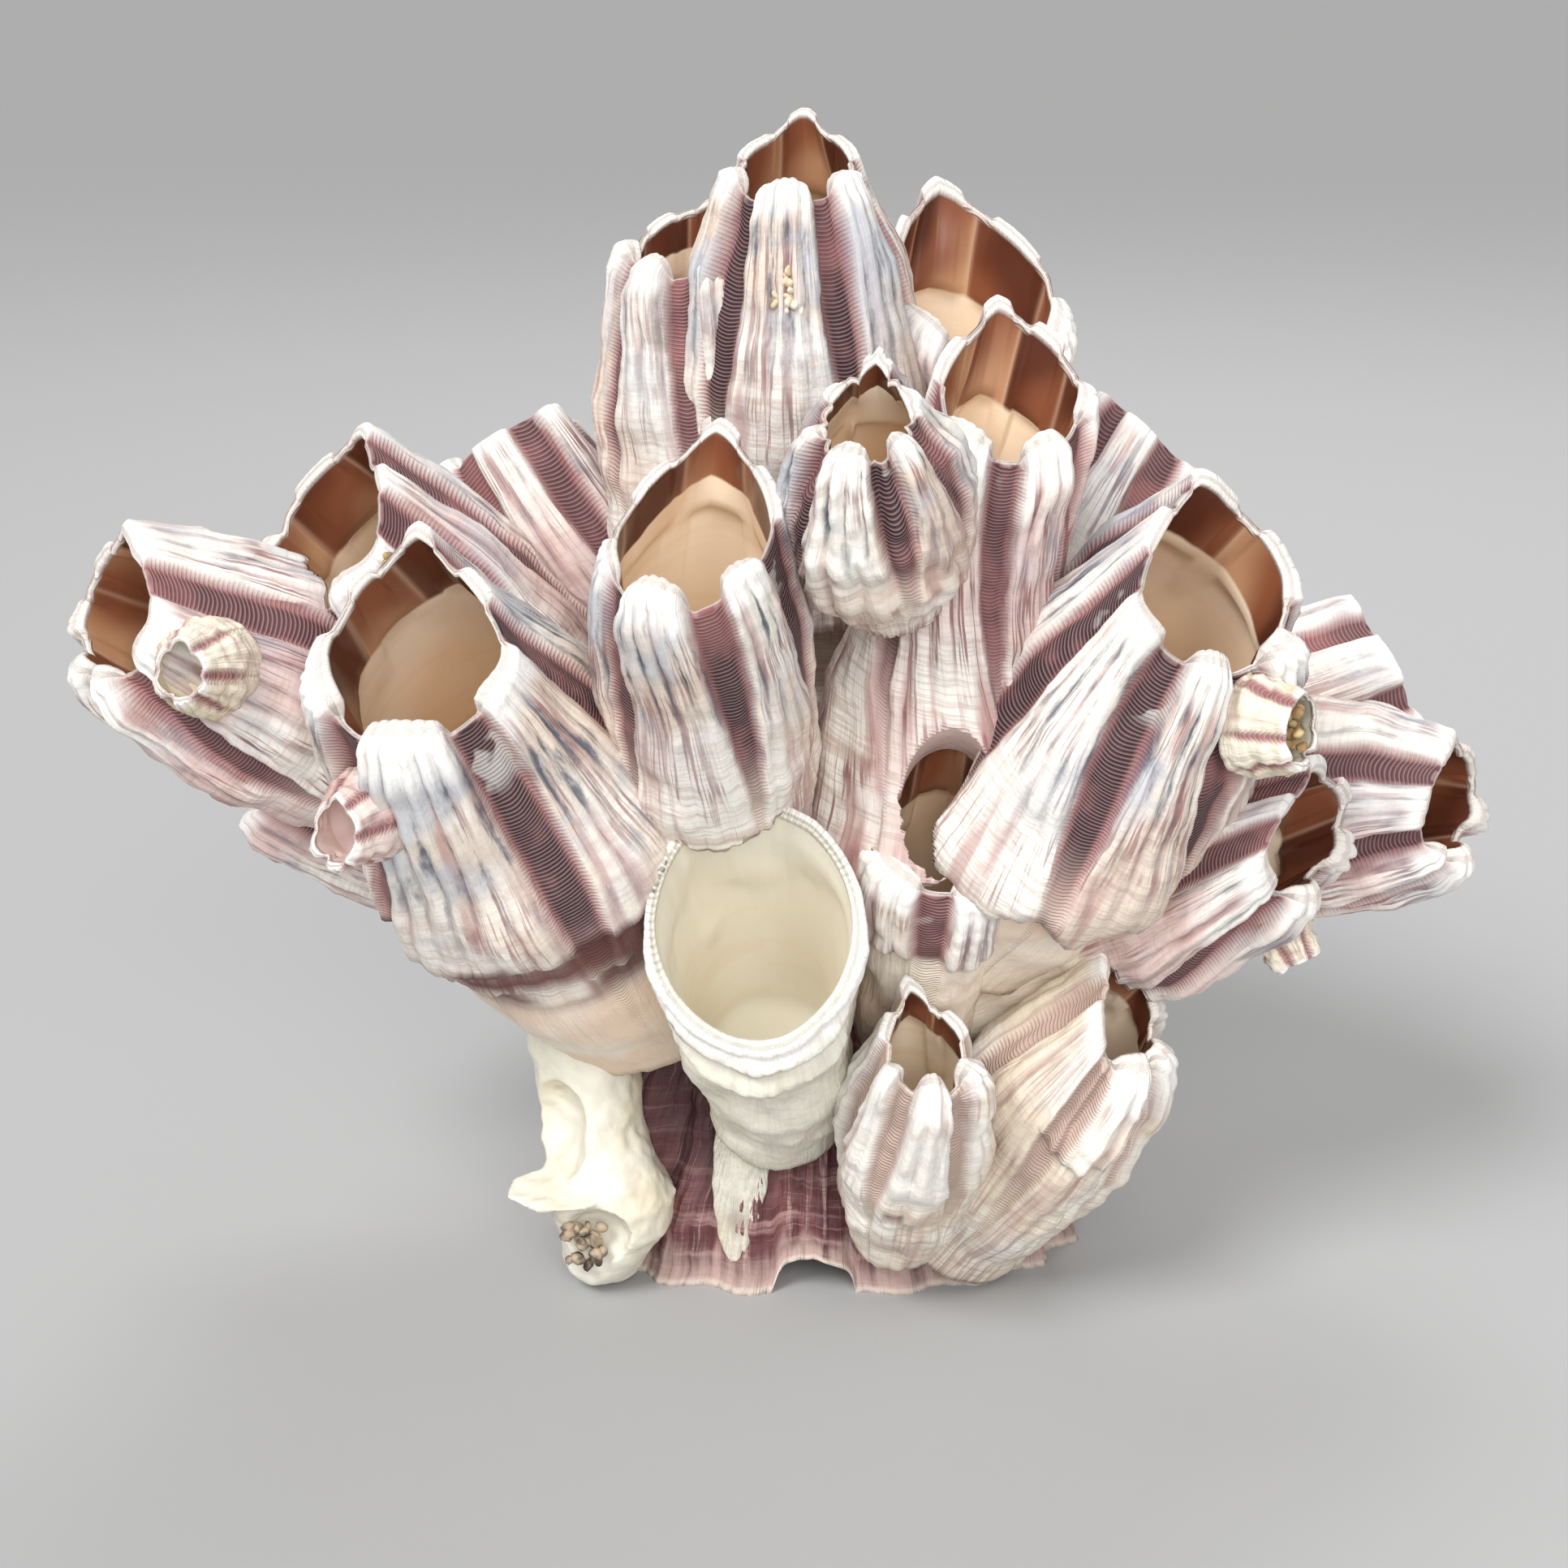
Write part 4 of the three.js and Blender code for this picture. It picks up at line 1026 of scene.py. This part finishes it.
def stubPiece():
    columns, rows = 48, len(stub["rings"]) + 1
    piece, u, v = gridPiece("worn_stub_look", columns, rows)
    row = np.rint(v * rows).astype(int)
    rings = np.array([stub["rings"][0], *stub["rings"], stub["rings"][-1]])[row]
    size = ((row > 0) & (row < rows)).astype(float)
    a = u * 2 * math.pi
    writePoints(piece, np.stack([rings[:, 1] + rings[:, 2] * size * np.cos(a),
                                 rings[:, 3] + rings[:, 4] * size * np.sin(a), rings[:, 0]], 1))
    closeUp(piece)
    sphere, cube = bpy.ops.mesh.primitive_uv_sphere_add, bpy.ops.mesh.primitive_cube_add
    for at, reach in stub["scoops"]:
        scoop = addTool(sphere, at, reach, segments=32, ring_count=20, radius=1)
        cutAway(piece, scoop)
        bpy.data.objects.remove(scoop)
    ledge, fringe = stub["ledge"], stub["fringe"]
    shelf = addTool(sphere, ledge["at"], ledge["size"], (ledge["tilt"], 0, 0),
                    segments=48, ring_count=24, radius=0.5)
    cutAway(piece, shelf, "UNION")
    bpy.data.objects.remove(shelf)
    for k in range(fringe["count"]):
        at = np.array(fringe["at"]) + np.array(fringe["step"]) * k
        bar = addTool(cube, at, fringe["size"], fringe["turn"], size=1)
        cutAway(piece, bar, "UNION")
        bpy.data.objects.remove(bar)
    bpy.context.view_layer.objects.active = piece
    remesh = piece.modifiers.new("remesh", "REMESH")
    remesh.mode = "VOXEL"
    remesh.voxel_size = stub["voxel"] * mm
    useModifier(piece, remesh)
    soften = piece.modifiers.new("soften", "SMOOTH")
    soften.factor = 0.6
    soften.iterations = stub["soften"]
    useModifier(piece, soften)
    roughen(piece, "folds", 6.5, 2.2)
    roughen(piece, "grain", 1.4, 0.3)
    cutAll(piece)
    keepBody(piece, stub["keep"])
    pick(piece)
    bpy.ops.object.shade_smooth()
    return piece


# smooth cream lime, faintly mottled, with greenish marks and patchy brown painted shade in the hollows
wornPaint = dict(lime=(0.80, 0.77, 0.67), limeDark=(0.74, 0.68, 0.53), hollowShade=(0.34, 0.26, 0.15))


def wornMaterial():
    paint = wornPaint
    material, tree, shader, place = newMaterial("worn_lime", 0.5)
    mottle = noiseAt(tree, place, (1, 1, 1), 120, 4, 0.6)
    colour = blend(tree, steps(tree, mottle, 0.35, 0.65), paint["lime"], paint["limeDark"])
    hollow = put(tree, "ShaderNodeNewGeometry").outputs["Pointiness"]
    # painted shade: concave places, found by pointiness, turn a patchy dark brown
    hollowShade = times(tree, steps(tree, hollow, 0.50, 0.44), steps(tree, mottle, 0.45, 0.60, 0.2, 1))
    colour = blend(tree, times(tree, hollowShade, 0.6), colour, paint["hollowShade"])
    tree.links.new(colour, shader.inputs["Base Color"])
    addBump(tree, shader, noiseAt(tree, place, (1, 1, 1), 800, 4, 0.6), 0.35, 0.0003)
    return material


def onWall(s, degrees, t, out=0.0):
    u, t = np.array([degrees / 360]), np.array([float(t)])
    outer, _, rise = wallField(s, u, t)[:3]
    return wallPoints(s, u, t, outer + out, rise)[0]


def crumbMaterial(name, light, dark, scale=500):
    material, tree, shader, place = newMaterial(name, 0.7)
    mottle = noiseAt(tree, place, (1, 1, 1), scale, 3, 0.6)
    tree.links.new(blend(tree, steps(tree, mottle, 0.40, 0.60), light, dark), shader.inputs["Base Color"])
    return material


# a heap of small uneven crumbs stuck to a shell
def crumbs(name, node, slotName, at, spread, count, size, seed, material):
    rng = np.random.default_rng(seed)
    parts = []
    for _ in range(count):
        bpy.ops.object.select_all(action="DESELECT")
        where = (np.array(at) + rng.uniform(-1, 1, 3) * spread + centreShift) * mm
        bpy.ops.mesh.primitive_ico_sphere_add(subdivisions=2, radius=size * mm, location=where)
        part = bpy.context.object
        part.scale = rng.uniform(0.5, 1.3, 3)
        part.rotation_euler = rng.uniform(0, 3, 3)
        parts.append(part)
    bpy.ops.object.select_all(action="DESELECT")
    for part in parts:
        part.select_set(True)
    bpy.context.view_layer.objects.active = parts[0]
    bpy.ops.object.join()
    heap = bpy.context.object
    heap.name = name
    bpy.ops.object.transform_apply(location=True, rotation=True, scale=True)
    bpy.ops.object.shade_smooth()
    roughen(heap, name, 0.8, 0.5)
    heap.data.materials.append(material)
    finish(heap, node)


yellowCrust = crumbMaterial("yellow_crust", (0.60, 0.47, 0.22), (0.30, 0.18, 0.08))
whiteCrust = crumbMaterial("white_crust", (0.84, 0.80, 0.68), (0.62, 0.52, 0.34))
mixedCrust = crumbMaterial("mixed_crust", (0.46, 0.36, 0.25), (0.05, 0.035, 0.03), 350)
fillingAt = np.array(spatRightLarge["mouth"]) - 1.3 * unit(np.array(spatRightLarge["faces"], float))
heaps = (
    dict(name="spat_filling", node="spat_right_large", slotName="shell", at=fillingAt,
         spread=(1.5, 1.6, 2.0), count=34, size=0.6, seed=81, material=yellowCrust),
    dict(name="top_crust", node="top_centre_shell", slotName="shell", at=onWall(topCentre, 183, 0.80, -0.1),
         spread=(1.4, 0.4, 2.6), count=14, size=0.55, seed=82, material=whiteCrust),
    dict(name="brown_tube", node="left_upper_shell", slotName="shell",
         at=onWall(leftUpper, 268, 0.97, -0.6), spread=(0.6, 0.6, 1.3), count=7, size=0.75, seed=83,
         material=yellowCrust),
    dict(name="stub_crumbs", node="worn_stub", slotName="worn", at=(-26.4, -22.6, 7.6),
         spread=(2.4, 0.7, 2.4), count=22, size=0.7, seed=84, material=mixedCrust),
    dict(name="foundation_crust", node="foundation_shell", slotName="foundation", at=(27.6, -8.0, 6.6),
         spread=(1.2, 1.6, 3.4), count=9, size=1.1, seed=85, material=whiteCrust),
)
for heap in heaps:
    crumbs(**heap)
say("crumbs")

broken = stubPiece()
dress(broken, wornMaterial())
finish(broken, "worn_stub")
for helper in corks + [hole]:
    bpy.data.objects.remove(helper)
say("stub and tongue")

# pale floor, wide enough to fill the view
floor = dict(size=40, colour=(0.42, 0.423, 0.426))

bpy.ops.object.select_all(action="DESELECT")
bpy.ops.mesh.primitive_plane_add(size=floor["size"], location=(0, 0, 0))
ground = bpy.context.object
ground.name = "floor"
paint = bpy.data.materials.new("floor")
paint.use_nodes = True
paint.node_tree.nodes["Principled BSDF"].inputs["Base Color"].default_value = (*floor["colour"], 1)
paint.node_tree.nodes["Principled BSDF"].inputs["Roughness"].default_value = 0.85
ground.data.materials.append(paint)

# soft key from the upper left that lights the floor evenly, with a weak front fill and a back light
lights = [
    dict(name="key", kind="SUN", place=(-0.42, -0.55, 0.80), aim=(0, 0, 0.06), angle=24, power=2.25),
    dict(name="fill", kind="AREA", place=(0.12, -0.80, 0.38), aim=(0, 0, 0.06), size=0.5, power=4.6),
    dict(name="back", kind="AREA", place=(0.12, 0.50, 0.75), aim=(0, 0, 0.06), size=0.4, power=2.6),
]
for lamp in lights:
    data = bpy.data.lights.new(lamp["name"], lamp["kind"])
    data.energy = lamp["power"]
    if lamp["kind"] == "SUN":
        data.angle = math.radians(lamp["angle"])
    else:
        data.size = lamp["size"]
    holder = bpy.data.objects.new(lamp["name"], data)
    bpy.context.collection.objects.link(holder)
    holder.location = lamp["place"]
    beam = Vector(lamp["aim"]) - Vector(lamp["place"])
    holder.rotation_euler = beam.to_track_quat("-Z", "Y").to_euler()
room = dict(colour=(1.0, 0.99, 0.97), strength=0.44)
world = bpy.data.worlds.new("room")
bpy.context.scene.world = world
world.use_nodes = True
world.node_tree.nodes["Background"].inputs["Color"].default_value = (*room["colour"], 1)
world.node_tree.nodes["Background"].inputs["Strength"].default_value = room["strength"]
bpy.context.scene.view_settings.view_transform = "Standard"

# the photograph's viewpoint, in metres and degrees
view = dict(place=(-0.0018, -0.2701, 0.144), tilt=72.0, lens=59.6, sensor=36)
cameraData = bpy.data.cameras.new("photoView")
cameraData.lens = view["lens"]
cameraData.sensor_width = view["sensor"]
camera = bpy.data.objects.new("photoView", cameraData)
bpy.context.collection.objects.link(camera)
camera.location = view["place"]
camera.rotation_euler = (math.radians(view["tilt"]), 0, 0)
bpy.context.scene.camera = camera
say("stage and camera")
